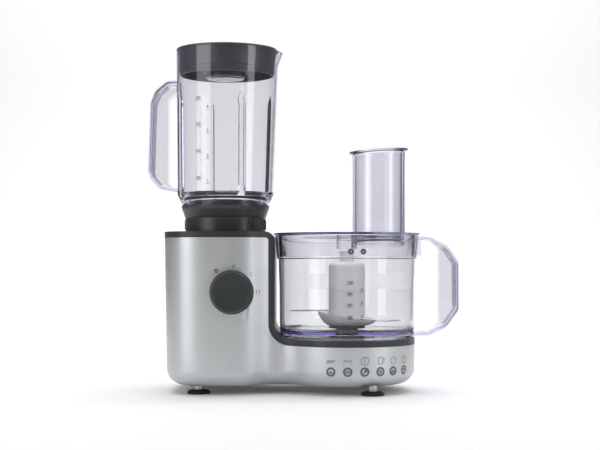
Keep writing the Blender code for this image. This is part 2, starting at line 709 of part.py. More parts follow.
def make_jug():
    """The jug's wall and foot, with four inner ribs, a pouring lip and a handle."""
    at = (MOTOR_X, MOTOR_Y)
    top, low, wall = JUG_R_TOP, JUG_R_LOW, JUG_WALL
    profile = [
        (top, JUG_RIM_Z), (top - 0.4, SPOUT_Z), (low, 214.5), (50.9, 209.5), (47.6, 204.8), (46.5, 203.9),
        (46.5, JUG_FOOT_Z), (43.7, JUG_FOOT_Z), (43.7, 211.0), (47.4, 213.0),
        (low - wall, 218.0), (top - 0.4 - wall, SPOUT_Z), (top - wall, JUG_RIM_Z),
    ]
    jug = turned("jug", profile, at, "clear_plastic", JUG_SEGMENTS)
    pull_spout(jug, at)
    for degrees in RIB_ANGLES:
        rings = []
        for z, grow, half, deep in ((220.0, 0.1, 3.6, 4.2), (316.0, 1.4, 3.2, 4.2), (326.0, 1.6, 1.0, 1.6)):
            outer = low - wall + 0.9 + grow
            inner = outer - deep
            rings.append([(outer, -half, z), (outer, half, z), (inner, half / 2, z), (inner, -half / 2, z)])
        rib = loft("rib", rings)
        turn = Matrix.Rotation(math.radians(degrees), 4, "Z")
        rib.data.transform(Matrix.Translation((at[0] * MM, at[1] * MM, 0.0)) @ turn)
        join(jug, rib)
    reach = HALF_WIDTH + MOTOR_X
    outer = [
        (-52.4, 347.2), (-64.0, 346.0), (1.6 - reach, 322.0), (-reach, 243.0), (-73.0, 224.6), (-50.6, 221.0),
    ]
    finger = [(-52.4, 335.5), (-63.5, 326.5), (-64.0, 231.5), (-50.6, 226.2)]
    join(jug, grip_handle("handle", at, outer, finger, (13.0, 16.0, 12.0, 11.0), (5.0, 5.0), 1))
    return shade(jug)


def pull_spout(jug, at):
    """Pulls the rim outwards into a pouring lip on the side away from the handle."""
    for vertex in jug.data.vertices:
        x, y, z = vertex.co / MM
        dx, dy = x - at[0], y - at[1]
        if z > SPOUT_Z + 1:
            share = SPOUT_SHARES.get(round(abs(math.degrees(math.atan2(dy, dx)))), 0.0)
            vertex.co.x += SPOUT_REACH * share * (z - SPOUT_Z) / (JUG_RIM_Z - SPOUT_Z) * MM


def make_jug_lid():
    """The dark lid with a hole in its middle, and the clear measuring cap that plugs it."""
    at = (MOTOR_X, MOTOR_Y)
    outer = JUG_R_TOP - JUG_WALL - 0.9
    profile = [
        (22.8, 376.6), (53.9, 376.6), (54.5, 376.0), (54.5, JUG_RIM_Z + GAP), (outer, JUG_RIM_Z + GAP),
        (outer, 352.0), (outer - 0.8, JUG_LID_SKIRT_Z), (outer - 3.0, JUG_LID_SKIRT_Z), (outer - 3.0, 373.6),
        (25.0, 373.6), (25.0, 351.0), (22.8, 351.0),
    ]
    turned("jug_lid", profile, at, "dark_trim", 30)
    cap = [
        (0.0, 345.8), (19.2, 345.8), (20.2, 379.6), (24.4, 379.6), (24.4, 376.9), (22.2, 376.9),
        (21.6, 345.2), (20.0, 343.6), (0.0, 343.6),
    ]
    turned("filler_cap", cap, at, "clear_plastic", 24, closed=False)


# ---- the bowl -----------------------------------------------------------------------------
def make_bowl():
    """The bowl with its centre chimney and a handle on the side away from the tower."""
    at = (BOWL_X, BOWL_Y)
    foot, floor, seam, rim = BOWL_FOOT_Z, BOWL_FLOOR_Z, BOWL_SEAM_Z, BOWL_RIM_Z
    profile = [
        (78.6, rim), (76.9, seam + 0.9), (75.1, seam - 0.1), (74.9, 130.0), (74.2, 113.0),
        (74.0, 67.0), (72.4, 61.6), (69.4, foot), (65.6, foot), (65.6, floor - 2.5),
        (9.3, floor - 2.5), (9.3, 104.0), (11.5, 104.0), (11.5, floor), (70.8, floor), (71.8, 69.0),
        (72.0, 113.0), (72.7, 130.0), (73.1, seam), (74.9, seam + 1.4), (76.5, rim),
    ]
    bowl = turned("bowl", profile, at, "clear_plastic", 36)
    reach = HALF_WIDTH - BOWL_X
    outer = [
        (76.9, 169.4), (90.0, 168.8), (110.0, 159.0), (reach - 0.4, 141.0), (reach, 89.0), (109.0, 70.0),
        (89.0, 60.9), (71.8, 60.6),
    ]
    finger = [(76.9, 165.4), (92.0, 164.4), (100.6, 157.5), (100.6, 74.0), (90.0, 65.4), (72.6, 64.6)]
    radii = (14.0, 15.0, 11.0, 11.0, 15.0, 14.0)
    handle = grip_handle("handle", at, outer, finger, radii, (6.0, 4.0, 5.0, 6.0), -1)
    join(handle, box("root", (123.9, -19.0, 148.0), (129.6, -5.0, 168.0)))
    join(bowl, handle)
    return shade(bowl)


def tilt_top(obj, axis_x, above):
    """Leans everything above a height, so that the lip is lower on its left."""
    for vertex in obj.data.vertices:
        if vertex.co.z > above * MM:
            vertex.co.z += math.tan(TUBE_TILT) * (vertex.co.x - axis_x * MM)


def make_bowl_lid():
    """The lid with its skirt inside the bowl, the knife's locating ring and the feed tube."""
    at, tube_at = (BOWL_X, BOWL_Y), (TUBE_X, TUBE_Y)
    top = LID_TOP_Z
    profile = [
        (0.0, top), (80.0, top), (80.8, top - 0.6), (80.8, BOWL_RIM_Z + GAP), (75.2, BOWL_RIM_Z + GAP),
        (73.8, 147.0), (71.8, 147.0), (73.0, top - 2.2), (11.4, top - 2.2), (11.4, 160.0), (9.6, 160.0),
        (9.6, top - 2.2), (0.0, top - 2.2),
    ]
    lid = turned("bowl_lid", profile, at, "clear_plastic", 36, closed=False)
    shaft = [
        (TUBE_R + 1.4, TUBE_TOP_Z), (TUBE_R + 1.4, TUBE_TOP_Z - 1.6), (TUBE_R, TUBE_TOP_Z - 3),
        (TUBE_R, 164.0), (TUBE_R - 2.2, 164.0), (TUBE_R - 2.2, TUBE_TOP_Z - 6),
        (TUBE_R - 1.8, TUBE_TOP_Z),
    ]
    feed = turned("feed_tube", shaft, tube_at, None, 24)
    tilt_top(feed, TUBE_X, 240.0)
    cut(lid, cylinder("feed_hole", TUBE_R - 1.2, 150, 200, tube_at, segments=24))
    join(lid, feed)
    return shade(lid)


def make_pusher():
    """A cup that slides in the feed tube and hangs on its lip."""
    outer, inner, top = TUBE_R - 2.9, TUBE_R - 4.9, TUBE_TOP_Z
    profile = [
        (0.0, 170.4), (inner, 170.4), (inner, top - 2.0), (inner + 0.6, top + 4.6),
        (TUBE_R + 2.4, top + 4.6), (TUBE_R + 2.9, top + 3.8), (TUBE_R + 2.9, top + 0.5),
        (outer - 0.2, top + 0.5), (outer - 0.4, top - 8.0),
        (outer, 173.0), (outer - 1.4, 168.0), (0.0, 168.0),
    ]
    pusher = turned("pusher", profile, (TUBE_X, TUBE_Y), "clear_plastic", 24, closed=False)
    tilt_top(pusher, TUBE_X, TUBE_TOP_Z - 5.0)
    return pusher


# ---- the knife and its shaft --------------------------------------------------------------
def make_knife():
    """The lift-out drive shaft inside the bowl's chimney, and the knife's hub over it."""
    at = (BOWL_X, BOWL_Y)
    shaft = [
        (0.0, 150.0), (4.4, 150.0), (5.2, 149.0), (5.2, 113.0), (8.6, 110.0), (8.6, 66.0), (0.0, 66.0),
    ]
    drive = turned("drive_shaft", shaft, at, "black_plastic", 20, closed=False)
    cut(drive, flat("hex_socket", [circle(6.5, at, 6)], 60.0, 82.0))
    shade(drive)

    hub_profile = [
        (0.0, 157.5), (8.6, 157.5), (8.6, 156.2), (8.0, 155.8), (8.0, 141.6), (9.6, 139.9), (17.4, 139.4),
        (19.5, 138.0), (20.0, 135.0), (20.2, 71.5), (12.5, 71.5), (12.5, 107.0), (9.4, 109.0), (9.4, 114.5),
        (5.7, 116.0), (5.7, 152.0), (0.0, 152.0),
    ]
    hub = turned("knife_hub", hub_profile, at, "grey_plastic", 22, closed=False)
    dish = [
        (32.4, 92.0), (32.0, 85.0), (29.0, 78.0), (24.0, 73.4), (19.0, 71.2), (19.0, 74.0), (26.4, 80.0),
        (29.4, 86.0), (29.8, 92.0),
    ]
    skirt = turned("skirt", dish, at, None, 22)
    lid = box("skirt_top", (-60, -60, 0), (60, 60, 40))
    place = Matrix.Translation((at[0] * MM, at[1] * MM, 82.25 * MM))
    lid.data.transform(place @ Matrix.Rotation(math.radians(8.2), 4, "Y"))
    cut(skirt, lid)
    join(hub, skirt)
    shade(hub)
    make_knife_blade("knife_blade_upper", at, 180.0, 87.4, 20.6, 62.5)
    make_knife_blade("knife_blade_lower", at, 12.0, 75.6, 29.6, 64.0)


def make_knife_blade(name, at, degrees, z, root, reach):
    """A flat sabre-shaped steel blade that sweeps back to its tip."""
    front = [(root, -10.0), (root + 14, -11.0), (48.0, -8.0), (58.0, -2.0), (reach, 6.0)]
    back = [(reach - 3.0, 8.6), (52.0, 8.0), (root + 17, 8.6), (root, 8.0)]
    turn = Matrix.Rotation(math.radians(degrees), 2)
    points = [turn @ Vector(p) for p in front + back]
    flat(name, [[(at[0] + p.x, at[1] + p.y) for p in points]], z, z + 1.4, "steel")


def main():
    clear_scene()
    make_materials()
    make_housing()
    make_deck()
    make_base_plate()
    make_feet()
    make_cord_inlet()
    make_motor()
    make_belt_drive()
    make_controls()
    make_interlock("bowl", BOWL_PIN, 62.6, 55.2, 42.5)
    make_interlock("jug", JUG_PIN, 189.0, 170.6, 158.0)
    make_blade_unit()
    make_jug()
    make_jug_lid()
    make_bowl()
    make_bowl_lid()
    make_pusher()
    make_knife()


main()
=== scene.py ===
"""Looks for the food processor: fine meshes, procedural materials, prints, light and camera.

Lengths are in millimetres until a mesh is made. An angle round an axis is counted from the
front (-Y) towards the right (+X).
"""

import json
import math

import bmesh
import bpy
from mathutils import Matrix, Vector


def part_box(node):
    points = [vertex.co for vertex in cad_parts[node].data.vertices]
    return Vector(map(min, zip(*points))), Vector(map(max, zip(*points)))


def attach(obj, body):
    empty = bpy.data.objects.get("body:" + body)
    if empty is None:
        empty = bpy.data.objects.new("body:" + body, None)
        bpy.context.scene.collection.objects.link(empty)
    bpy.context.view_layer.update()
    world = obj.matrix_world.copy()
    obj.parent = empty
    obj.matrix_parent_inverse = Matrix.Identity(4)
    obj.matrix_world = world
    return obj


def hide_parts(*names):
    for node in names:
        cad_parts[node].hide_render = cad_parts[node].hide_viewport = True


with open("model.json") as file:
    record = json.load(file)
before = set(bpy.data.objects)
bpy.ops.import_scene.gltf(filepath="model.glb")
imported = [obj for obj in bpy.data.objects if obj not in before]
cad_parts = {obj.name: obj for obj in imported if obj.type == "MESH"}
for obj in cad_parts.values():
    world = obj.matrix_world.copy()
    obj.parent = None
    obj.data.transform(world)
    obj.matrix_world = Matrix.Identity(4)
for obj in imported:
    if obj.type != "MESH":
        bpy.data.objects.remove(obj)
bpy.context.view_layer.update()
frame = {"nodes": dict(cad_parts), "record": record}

MM = 0.001
GAP = 0.3


def axis_of(node):
    """X and Y of a round node's vertical axis."""
    low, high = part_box(node)
    return ((low.x + high.x) / 2 / MM, (low.y + high.y) / 2 / MM)


def foot_of(node):
    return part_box(node)[0].z / MM


MOTOR = axis_of("motor_shaft")
BOWL = axis_of("bowl_spindle")
TUBE = axis_of("pusher")

TOWER_X, TOWER_HALF_X = -91.0, 61.0
TOWER_FRONT_Y, TOWER_BACK_Y = -78.0, 86.0
TOWER_TOP_Z, PLATFORM_Z, UNDERSIDE_Z = 174.0, 58.5, 9.2
LOBE_R, LOBE_STRETCH = 76.4, 12.5
BRIDGE_FRONT_Y, BRIDGE_BACK_Y = -56.0, 64.0
WAIST_BLEND = 14.0
BOTTOM_ROUND, DRAFT, WALL, LIP = 17.0, 0.0166, 2.4, 5.0
TOWER_SIDE_X, SIDE_FILLET, SIDE_SHOULDER, BAND = -30.5, 17.0, 10.0, 6.2
SEAT_R = 75.2
KNOB_X, KNOB_Z, KNOB_R = -75.0, 109.7, 23.2
KNOB_SEAT_Y, KNOB_FACE_Y = -78.0, -91.0


# ---- node materials -----------------------------------------------------------------------
class Nodes:
    """A material's node tree, with short calls for what the materials here share."""

    def __init__(self, name):
        self.mat = bpy.data.materials.new(name)
        self.mat.use_nodes = True
        self.tree = self.mat.node_tree
        self.shader = self.tree.nodes["Principled BSDF"]
        self.output = self.tree.nodes["Material Output"]
        self.coords = self.add("ShaderNodeTexCoord").outputs["Object"]

    def add(self, kind, **values):
        node = self.tree.nodes.new(kind)
        for key, value in values.items():
            if hasattr(node, key):
                setattr(node, key, value)
            else:
                node.inputs[key.replace("_", " ")].default_value = value
        return node

    def link(self, a, b):
        self.tree.links.new(a, b)

    def set(self, **values):
        for key, value in values.items():
            self.shader.inputs[key.replace("_", " ")].default_value = value

    def stretched(self, scale):
        node = self.add("ShaderNodeMapping")
        node.inputs["Scale"].default_value = scale
        self.link(self.coords, node.inputs["Vector"])
        return node.outputs["Vector"]

    def noise(self, scale, detail=3.0, vector=None, roughness=0.5):
        node = self.add("ShaderNodeTexNoise", Scale=scale, Detail=detail, Roughness=roughness)
        self.link(vector or self.coords, node.inputs["Vector"])
        return node.outputs["Fac"]

    def remap(self, value, low, high, from_low=0.3, from_high=0.7):
        node = self.add("ShaderNodeMapRange")
        limits = {"From Min": from_low, "From Max": from_high, "To Min": low, "To Max": high}
        for key, limit in limits.items():
            node.inputs[key].default_value = limit
        self.link(value, node.inputs["Value"])
        return node.outputs["Result"]

    def colour(self, value, dark, light, socket="Base Color"):
        node = self.add("ShaderNodeMix", data_type="RGBA")
        node.inputs["A"].default_value = (*dark, 1.0)
        node.inputs["B"].default_value = (*light, 1.0)
        self.link(value, node.inputs["Factor"])
        self.link(node.outputs["Result"], self.shader.inputs[socket])

    def bump(self, value, distance, strength=1.0):
        node = self.add("ShaderNodeBump", Distance=distance, Strength=strength)
        self.link(value, node.inputs["Height"])
        self.link(node.outputs["Normal"], self.shader.inputs["Normal"])


def scaled(colour, factor):
    return tuple(min(c * factor, 1.0) for c in colour)


def moulded(name, colour, rough, grain=1400.0, depth=0.00003, spread=0.06, **values):
    """Moulded plastic with a spark-eroded grain, faint colour drift and uneven gloss."""
    m = Nodes(name)
    drift = m.noise(26.0, 4.0)
    m.colour(drift, scaled(colour, 1 - spread), scaled(colour, 1 + spread))
    m.link(m.remap(m.noise(60.0, 5.0), rough - 0.04, rough + 0.05), m.shader.inputs["Roughness"])
    m.bump(m.noise(grain, 2.0), depth)
    m.set(**values)
    return m.mat


def silver_paint():
    """Metallic paint: fine flakes under a satin clear layer."""
    m = Nodes("silver_paint")
    flakes = m.add("ShaderNodeTexVoronoi", Scale=2600.0)
    m.link(m.coords, flakes.inputs["Vector"])
    sparkle = m.add("ShaderNodeSeparateColor")
    m.link(flakes.outputs["Color"], sparkle.inputs["Color"])
    m.colour(sparkle.outputs["Red"], (0.545, 0.56, 0.57), (0.635, 0.65, 0.66))
    m.link(m.remap(m.noise(45.0, 4.0), 0.38, 0.44), m.shader.inputs["Roughness"])
    m.bump(m.noise(900.0, 2.0), 0.00002, 0.6)
    m.set(Metallic=0.82, Coat_Weight=0.12, Coat_Roughness=0.25)
    return m.mat


def clear_plastic(name="clear_plastic", tint=(0.965, 0.97, 0.985), haze=0.015, ior=1.42, density=48.0):
    """Clear moulding, violet where it is thick. Lamps shine straight through it."""
    m = Nodes(name)
    m.colour(m.noise(18.0, 3.0), scaled(tint, 0.99), tint)
    m.link(m.remap(m.noise(35.0, 4.0), haze * 0.5, haze * 1.6), m.shader.inputs["Roughness"])
    m.bump(m.noise(22.0, 2.0), 0.00006, 0.25)
    m.set(Transmission_Weight=1.0, IOR=ior)
    absorb = m.add("ShaderNodeVolumeAbsorption", Density=density)
    absorb.inputs["Color"].default_value = (0.74, 0.72, 0.90, 1.0)
    m.link(absorb.outputs["Volume"], m.output.inputs["Volume"])
    lamps = m.add("ShaderNodeBsdfTransparent", Color=(*tint, 1.0))
    path = m.add("ShaderNodeLightPath")
    mix = m.add("ShaderNodeMixShader")
    m.link(path.outputs["Is Shadow Ray"], mix.inputs[0])
    m.link(m.shader.outputs["BSDF"], mix.inputs[1])
    m.link(lamps.outputs["BSDF"], mix.inputs[2])
    m.link(mix.outputs["Shader"], m.output.inputs["Surface"])
    return m.mat


def brushed(name, colour, rough, stretch=(1.0, 40.0, 40.0), grain=400.0):
    """Metal with fine drawn lines."""
    m = Nodes(name)
    lines = m.noise(grain, 4.0, m.stretched(stretch))
    m.colour(lines, scaled(colour, 0.86), scaled(colour, 1.08))
    m.link(m.remap(lines, rough - 0.06, rough + 0.10), m.shader.inputs["Roughness"])
    m.bump(lines, 0.00001, 0.5)
    m.set(Metallic=1.0)
    return m.mat


def laminations():
    """Thin iron sheets stacked along Z."""
    m = Nodes("laminated_iron")
    sheets = m.add("ShaderNodeTexWave", bands_direction="Z", Scale=320.0, Distortion=0.3)
    m.link(m.coords, sheets.inputs["Vector"])
    m.colour(sheets.outputs["Fac"], (0.13, 0.13, 0.14), (0.30, 0.30, 0.31))
    m.link(m.remap(m.noise(120.0), 0.4, 0.6), m.shader.inputs["Roughness"])
    m.bump(sheets.outputs["Fac"], 0.0001)
    m.set(Metallic=0.9)
    return m.mat


def winding():
    """Enamelled copper wire."""
    m = Nodes("copper")
    wires = m.add("ShaderNodeTexWave", bands_direction="Z", Scale=260.0, Distortion=0.8)
    m.link(m.coords, wires.inputs["Vector"])
    m.colour(wires.outputs["Fac"], (0.30, 0.11, 0.05), (0.74, 0.34, 0.17))
    m.link(m.remap(m.noise(150.0), 0.3, 0.45), m.shader.inputs["Roughness"])
    m.bump(wires.outputs["Fac"], 0.0002)
    m.set(Metallic=0.9)
    return m.mat


def board():
    m = Nodes("green_board")
    tracks = m.add("ShaderNodeTexBrick", Scale=120.0)
    m.link(m.coords, tracks.inputs["Vector"])
    m.colour(tracks.outputs["Fac"], (0.03, 0.17, 0.08), (0.07, 0.30, 0.13))
    m.link(m.remap(m.noise(90.0), 0.35, 0.5), m.shader.inputs["Roughness"])
    return m.mat


def ink(name, colour):
    """Printed ink, slightly uneven."""
    m = Nodes(name)
    m.colour(m.noise(900.0, 4.0), scaled(colour, 0.85), scaled(colour, 1.15))
    m.link(m.remap(m.noise(500.0), 0.4, 0.55), m.shader.inputs["Roughness"])
    return m.mat


MATERIALS = {
    "silver_shell": silver_paint(),
    "dark_trim": moulded("dark_trim", (0.027, 0.031, 0.034), 0.38),
    "black_plastic": moulded("black_plastic", (0.018, 0.019, 0.020), 0.45),
    "clear_plastic": clear_plastic(tint=(0.872, 0.876, 0.880)),
    "grey_plastic": moulded(
        "grey_plastic", (0.68, 0.677, 0.66), 0.33, grain=900.0, depth=0.00001, spread=0.02
    ),
    "rubber": moulded("rubber", (0.012, 0.012, 0.012), 0.72, grain=700.0, depth=0.00008),
    "steel": brushed("steel", (0.60, 0.60, 0.61), 0.24),
    "laminated_iron": laminations(),
    "copper": winding(),
    "white_nylon": moulded("white_nylon", (0.74, 0.74, 0.71), 0.5, spread=0.04),
    "green_board": board(),
}
TUBE_PLASTIC = clear_plastic("tube_plastic", (0.98, 0.982, 0.98), ior=1.38, density=64.0)
PUSHER_PLASTIC = clear_plastic("pusher_plastic", (0.915, 0.922, 0.918), ior=1.46, density=95.0)
DARK_GLOSS = (0.036, 0.039, 0.042)
LID_GLOSS = moulded("lid_plastic", DARK_GLOSS, 0.46, grain=500.0, depth=0.00001, Specular_IOR_Level=1.0)
COLLAR_GLOSS = moulded("collar_plastic", DARK_GLOSS, 0.33, grain=500.0, depth=0.00001)
PRINT_DARK = ink("print_dark", (0.075, 0.080, 0.085))
PRINT_GREY = ink("print_grey", (0.11, 0.115, 0.12))
PRINT_WHITE = ink("print_white", (0.75, 0.76, 0.78))
PRINT_RED = ink("print_red", (0.55, 0.02, 0.05))

SLOT_OF = {part["node"]: part["material_slot"] for part in frame["record"]["subparts"]}
for node_name, node_object in frame["nodes"].items():
    node_object.data.materials.clear()
    node_object.data.materials.append(MATERIALS[SLOT_OF[node_name]])


# ---- meshes -------------------------------------------------------------------------------
def make_object(name, verts, faces):
    mesh = bpy.data.meshes.new(name)
    mesh.from_pydata([Vector(v) * MM for v in verts], [], faces)
    mesh.update()
    obj = bpy.data.objects.new(name, mesh)
    bpy.context.scene.collection.objects.link(obj)
    return obj


def smooth(obj, angle=32.0):
    obj.data.shade_smooth()
    obj.data.set_sharp_from_angle(angle=math.radians(angle))
    return obj


def flat_shaded(obj):
    """Gives broad flat faces their own normals, so that only the rounded edges bend light."""
    modifier = obj.modifiers.new("normals", "WEIGHTED_NORMAL")
    modifier.keep_sharp = True
    return settle(obj)


def finish_piece(obj, material, body, replaced=()):
    """Gives a piece its material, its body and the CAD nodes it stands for."""
    obj.data.materials.clear()
    obj.data.materials.append(material)
    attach(obj, body)
    if replaced:
        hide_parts(*replaced)
    return obj


def settle(obj):
    bpy.context.view_layer.update()
    graph = bpy.context.evaluated_depsgraph_get()
    mesh = bpy.data.meshes.new_from_object(obj.evaluated_get(graph))
    obj.modifiers.clear()
    obj.data = mesh
    return obj


def boolean(obj, operation, *others):
    for other in others:
        modifier = obj.modifiers.new(operation.lower(), "BOOLEAN")
        modifier.operation = operation
        modifier.object = other
        settle(obj)
        bpy.data.objects.remove(other)
    return obj


def bevelled(obj, width, segments, angle):
    modifier = obj.modifiers.new("edge", "BEVEL")
    modifier.width = width * MM
    modifier.segments = segments
    modifier.limit_method = "ANGLE"
    modifier.angle_limit = math.radians(angle)
    return settle(obj)


def rounded(points, steps=4):
    """A profile of (r, z) or (r, z, fillet) with its filleted corners turned into arcs."""
    out = []
    for i, point in enumerate(points):
        here = Vector(point[:2])
        fillet = point[2] if len(point) > 2 else 0.0
        if not fillet or i in (0, len(points) - 1):
            out.append(here)
            continue
        back, ahead = Vector(points[i - 1][:2]) - here, Vector(points[i + 1][:2]) - here
        room = min(back.length, ahead.length) * 0.49
        a, b = back.normalized(), ahead.normalized()
        half = math.acos(max(-1.0, min(1.0, a.dot(b)))) / 2
        reach = min(fillet / math.tan(half), room)
        start, end = here + a * reach, here + b * reach
        for k in range(steps + 1):
            t = k / steps
            out.append(start * (1 - t) ** 2 + here * 2 * t * (1 - t) + end * t * t)
    return out


def lathe(name, points, at, steps=128, closed=False, warp=None, axis="Z"):
    """Turns a profile about an axis. A closed one is a ring, and an open one starts and ends at r 0.

    warp(angle, r, z) gives a point's own (r, z). The profile runs down the outer side.
    """
    rings, verts = [], []
    for r, z in points:
        if r < 1e-6:
            verts.append((0.0, 0.0, z))
            rings.append([len(verts) - 1])
            continue
        ring = []
        for i in range(steps):
            angle = math.tau * i / steps
            rr, zz = warp(angle, r, z) if warp else (r, z)
            verts.append((rr * math.sin(angle), -rr * math.cos(angle), zz))
            ring.append(len(verts) - 1)
        rings.append(ring)
    faces = []
    pairs = list(zip(rings, rings[1:])) + ([(rings[-1], rings[0])] if closed else [])
    for upper, lower in pairs:
        for i in range(steps):
            j = (i + 1) % steps
            if len(upper) == 1:
                faces.append((upper[0], lower[i], lower[j]))
            elif len(lower) == 1:
                faces.append((upper[i], lower[0], upper[j]))
            else:
                faces.append((upper[i], lower[i], lower[j], upper[j]))
    if axis == "Y":
        verts = [(x + at[0], z, -y + at[1]) for x, y, z in verts]
    else:
        verts = [(x + at[0], y + at[1], z) for x, y, z in verts]
    obj = make_object(name, verts, faces)
    bm = bmesh.new()
    bm.from_mesh(obj.data)
    bmesh.ops.recalc_face_normals(bm, faces=bm.faces)
    bm.to_mesh(obj.data)
    bm.free()
    return smooth(obj)


def loft(name, rings):
    """A solid through rings of equally many points, capped at both ends."""
    count = len(rings[0])
    verts = [p for ring in rings for p in ring]
    faces = [tuple(reversed(range(count))), tuple(range(len(verts) - count, len(verts)))]
    for k in range(len(rings) - 1):
        for i in range(count):
            j = (i + 1) % count
            faces.append((k * count + i, k * count + j, (k + 1) * count + j, (k + 1) * count + i))
    obj = make_object(name, verts, faces)
    bm = bmesh.new()
    bm.from_mesh(obj.data)
    bmesh.ops.recalc_face_normals(bm, faces=bm.faces)
    bm.to_mesh(obj.data)
    bm.free()
    return obj


def cylinder(name, radius, low, high, at, steps=64, axis="Z"):
    return lathe(name, [(0.0, high), (radius, high), (radius, low), (0.0, low)], at, steps, axis=axis)


# ---- the drive unit -----------------------------------------------------------------------
OUTLINE_POINTS = 260
OUTLINE_CENTRE = (-22.0, -4.0)


def blended(a, b):
    overlap = max(WAIST_BLEND - abs(a - b), 0.0)
    return min(a, b) - overlap * overlap / (4 * WAIST_BLEND)


def outline_value(x, y):
    """Below zero inside the squarish tower, the round platform or the bridge between them."""
    middle_y = (TOWER_FRONT_Y + TOWER_BACK_Y) / 2
    half_y = (TOWER_BACK_Y - TOWER_FRONT_Y) / 2
    across = abs((x - TOWER_X) / TOWER_HALF_X) ** 3 + abs((y - middle_y) / half_y) ** 3
    tower = (across ** (1 / 3) - 1) * TOWER_HALF_X
    past_axis = min(max(y - BOWL[1], 0.0), LOBE_STRETCH)
    lobe = math.hypot(x - BOWL[0], y - BOWL[1] - past_axis) - LOBE_R
    bridge = max(abs(x + 24.0) - 44.0, BRIDGE_FRONT_Y - y, y - BRIDGE_BACK_Y)
    return blended(blended(tower, lobe), bridge)


def outline_point(angle):
    low, high = 1.0, 200.0
    for _ in range(32):
        middle = (low + high) / 2
        x = OUTLINE_CENTRE[0] + middle * math.cos(angle)
        y = OUTLINE_CENTRE[1] + middle * math.sin(angle)
        low, high = (middle, high) if outline_value(x, y) < 0 else (low, middle)
    return Vector((OUTLINE_CENTRE[0] + low * math.cos(angle), OUTLINE_CENTRE[1] + low * math.sin(angle)))


def plan_outline(count):
    """Points at equal steps along the outline, each with its outward direction."""
    fine = 2400
    points = [outline_point(math.tau * i / fine) for i in range(fine)]
    lengths = [(points[(i + 1) % fine] - points[i]).length for i in range(fine)]
    step = sum(lengths) / count
    chosen, walked = [], 0.0
    for i in range(fine):
        if walked >= len(chosen) * step and len(chosen) < count:
            along = (points[(i + 4) % fine] - points[i - 4]).normalized()
            chosen.append((points[i], Vector((along.y, -along.x))))
        walked += lengths[i]
    return chosen


PLAN = plan_outline(OUTLINE_POINTS)


def plan_ring(inset, z):
    return [(p.x - n.x * inset, p.y - n.y * inset, z) for p, n in PLAN]


def draft_inset(z):
    return DRAFT * (TOWER_TOP_Z - z)


def body_rings(inset, bottom=UNDERSIDE_Z, steps=10):
    centre_z = UNDERSIDE_Z + BOTTOM_ROUND
    radius = BOTTOM_ROUND - inset
    rings = []
    for k in range(steps):
        a = math.radians(90.0 - 90.0 * k / steps)
        out = draft_inset(centre_z) + inset + radius * (1 - math.cos(a))
        rings.append(plan_ring(out, centre_z - radius * math.sin(a)))
    for k in range(7):
        z = centre_z + (TOWER_TOP_Z + 6 - centre_z) * k / 6
        rings.append(plan_ring(draft_inset(z) + inset, z))
    if bottom < UNDERSIDE_Z:
        mouth = draft_inset(centre_z) + BOTTOM_ROUND + LIP
        rings = [plan_ring(mouth, bottom), plan_ring(mouth, centre_z - radius)] + rings
    return rings


def above_deck(name, grow):
    """The space above the deck, `grow` bigger, as a cutter from front to back."""
    points = [(300.0, 300.0), (-300.0, 300.0), (-300.0, TOWER_TOP_Z - grow)]
    top_x, top_z = TOWER_SIDE_X - SIDE_SHOULDER, TOWER_TOP_Z - SIDE_SHOULDER
    for k in range(13):
        a, r = math.radians(90.0 - 7.5 * k), SIDE_SHOULDER - grow
        points.append((top_x + r * math.cos(a), top_z + r * math.sin(a)))
    foot_x, foot_z = TOWER_SIDE_X + SIDE_FILLET, PLATFORM_Z + SIDE_FILLET
    for k in range(19):
        a, r = math.radians(180.0 + 5.0 * k), SIDE_FILLET + grow
        points.append((foot_x + r * math.cos(a), foot_z + r * math.sin(a)))
    points.append((300.0, PLATFORM_Z - grow))
    return loft(name, [[(x, y, z) for x, z in points] for y in (-200.0, 200.0)])


def skin(z):
    """The outline at a height, as points in order, for laying prints on the body."""
    return plan_ring(draft_inset(z), z)


def make_housing():
    knob = (KNOB_X, KNOB_Z)
    housing = loft("housing_shell", body_rings(0.0))
    boolean(housing, "UNION", cylinder("seat", KNOB_R - 1.5, KNOB_SEAT_Y, -60.0, knob, 96, "Y"))
    boolean(housing, "DIFFERENCE", loft("hollow", body_rings(WALL, bottom=0.0)))
    boolean(housing, "DIFFERENCE", above_deck("deck_space", BAND + GAP))
    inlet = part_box("cord_inlet")
    inlet_at = ((inlet[0].x + inlet[1].x) / 2 / MM, (inlet[0].z + inlet[1].z) / 2 / MM)
    boolean(housing, "DIFFERENCE", cylinder("cord_hole", 7.3, 60.0, 110.0, inlet_at, 48, "Y"))
    boolean(housing, "DIFFERENCE", cylinder("knob_hole", 5.5, -100.0, -60.0, knob, 48, "Y"))
    foot = axis_of("foot_post_front_right")
    boolean(housing, "DIFFERENCE", cylinder("post_hole", 5.1, 0.0, 20.0, foot, 48))
    bevelled(housing, 0.35, 2, 50.0)
    smooth(housing, 30.0)
    finish_piece(housing, MATERIALS["silver_shell"], "base", ["outer_housing"])


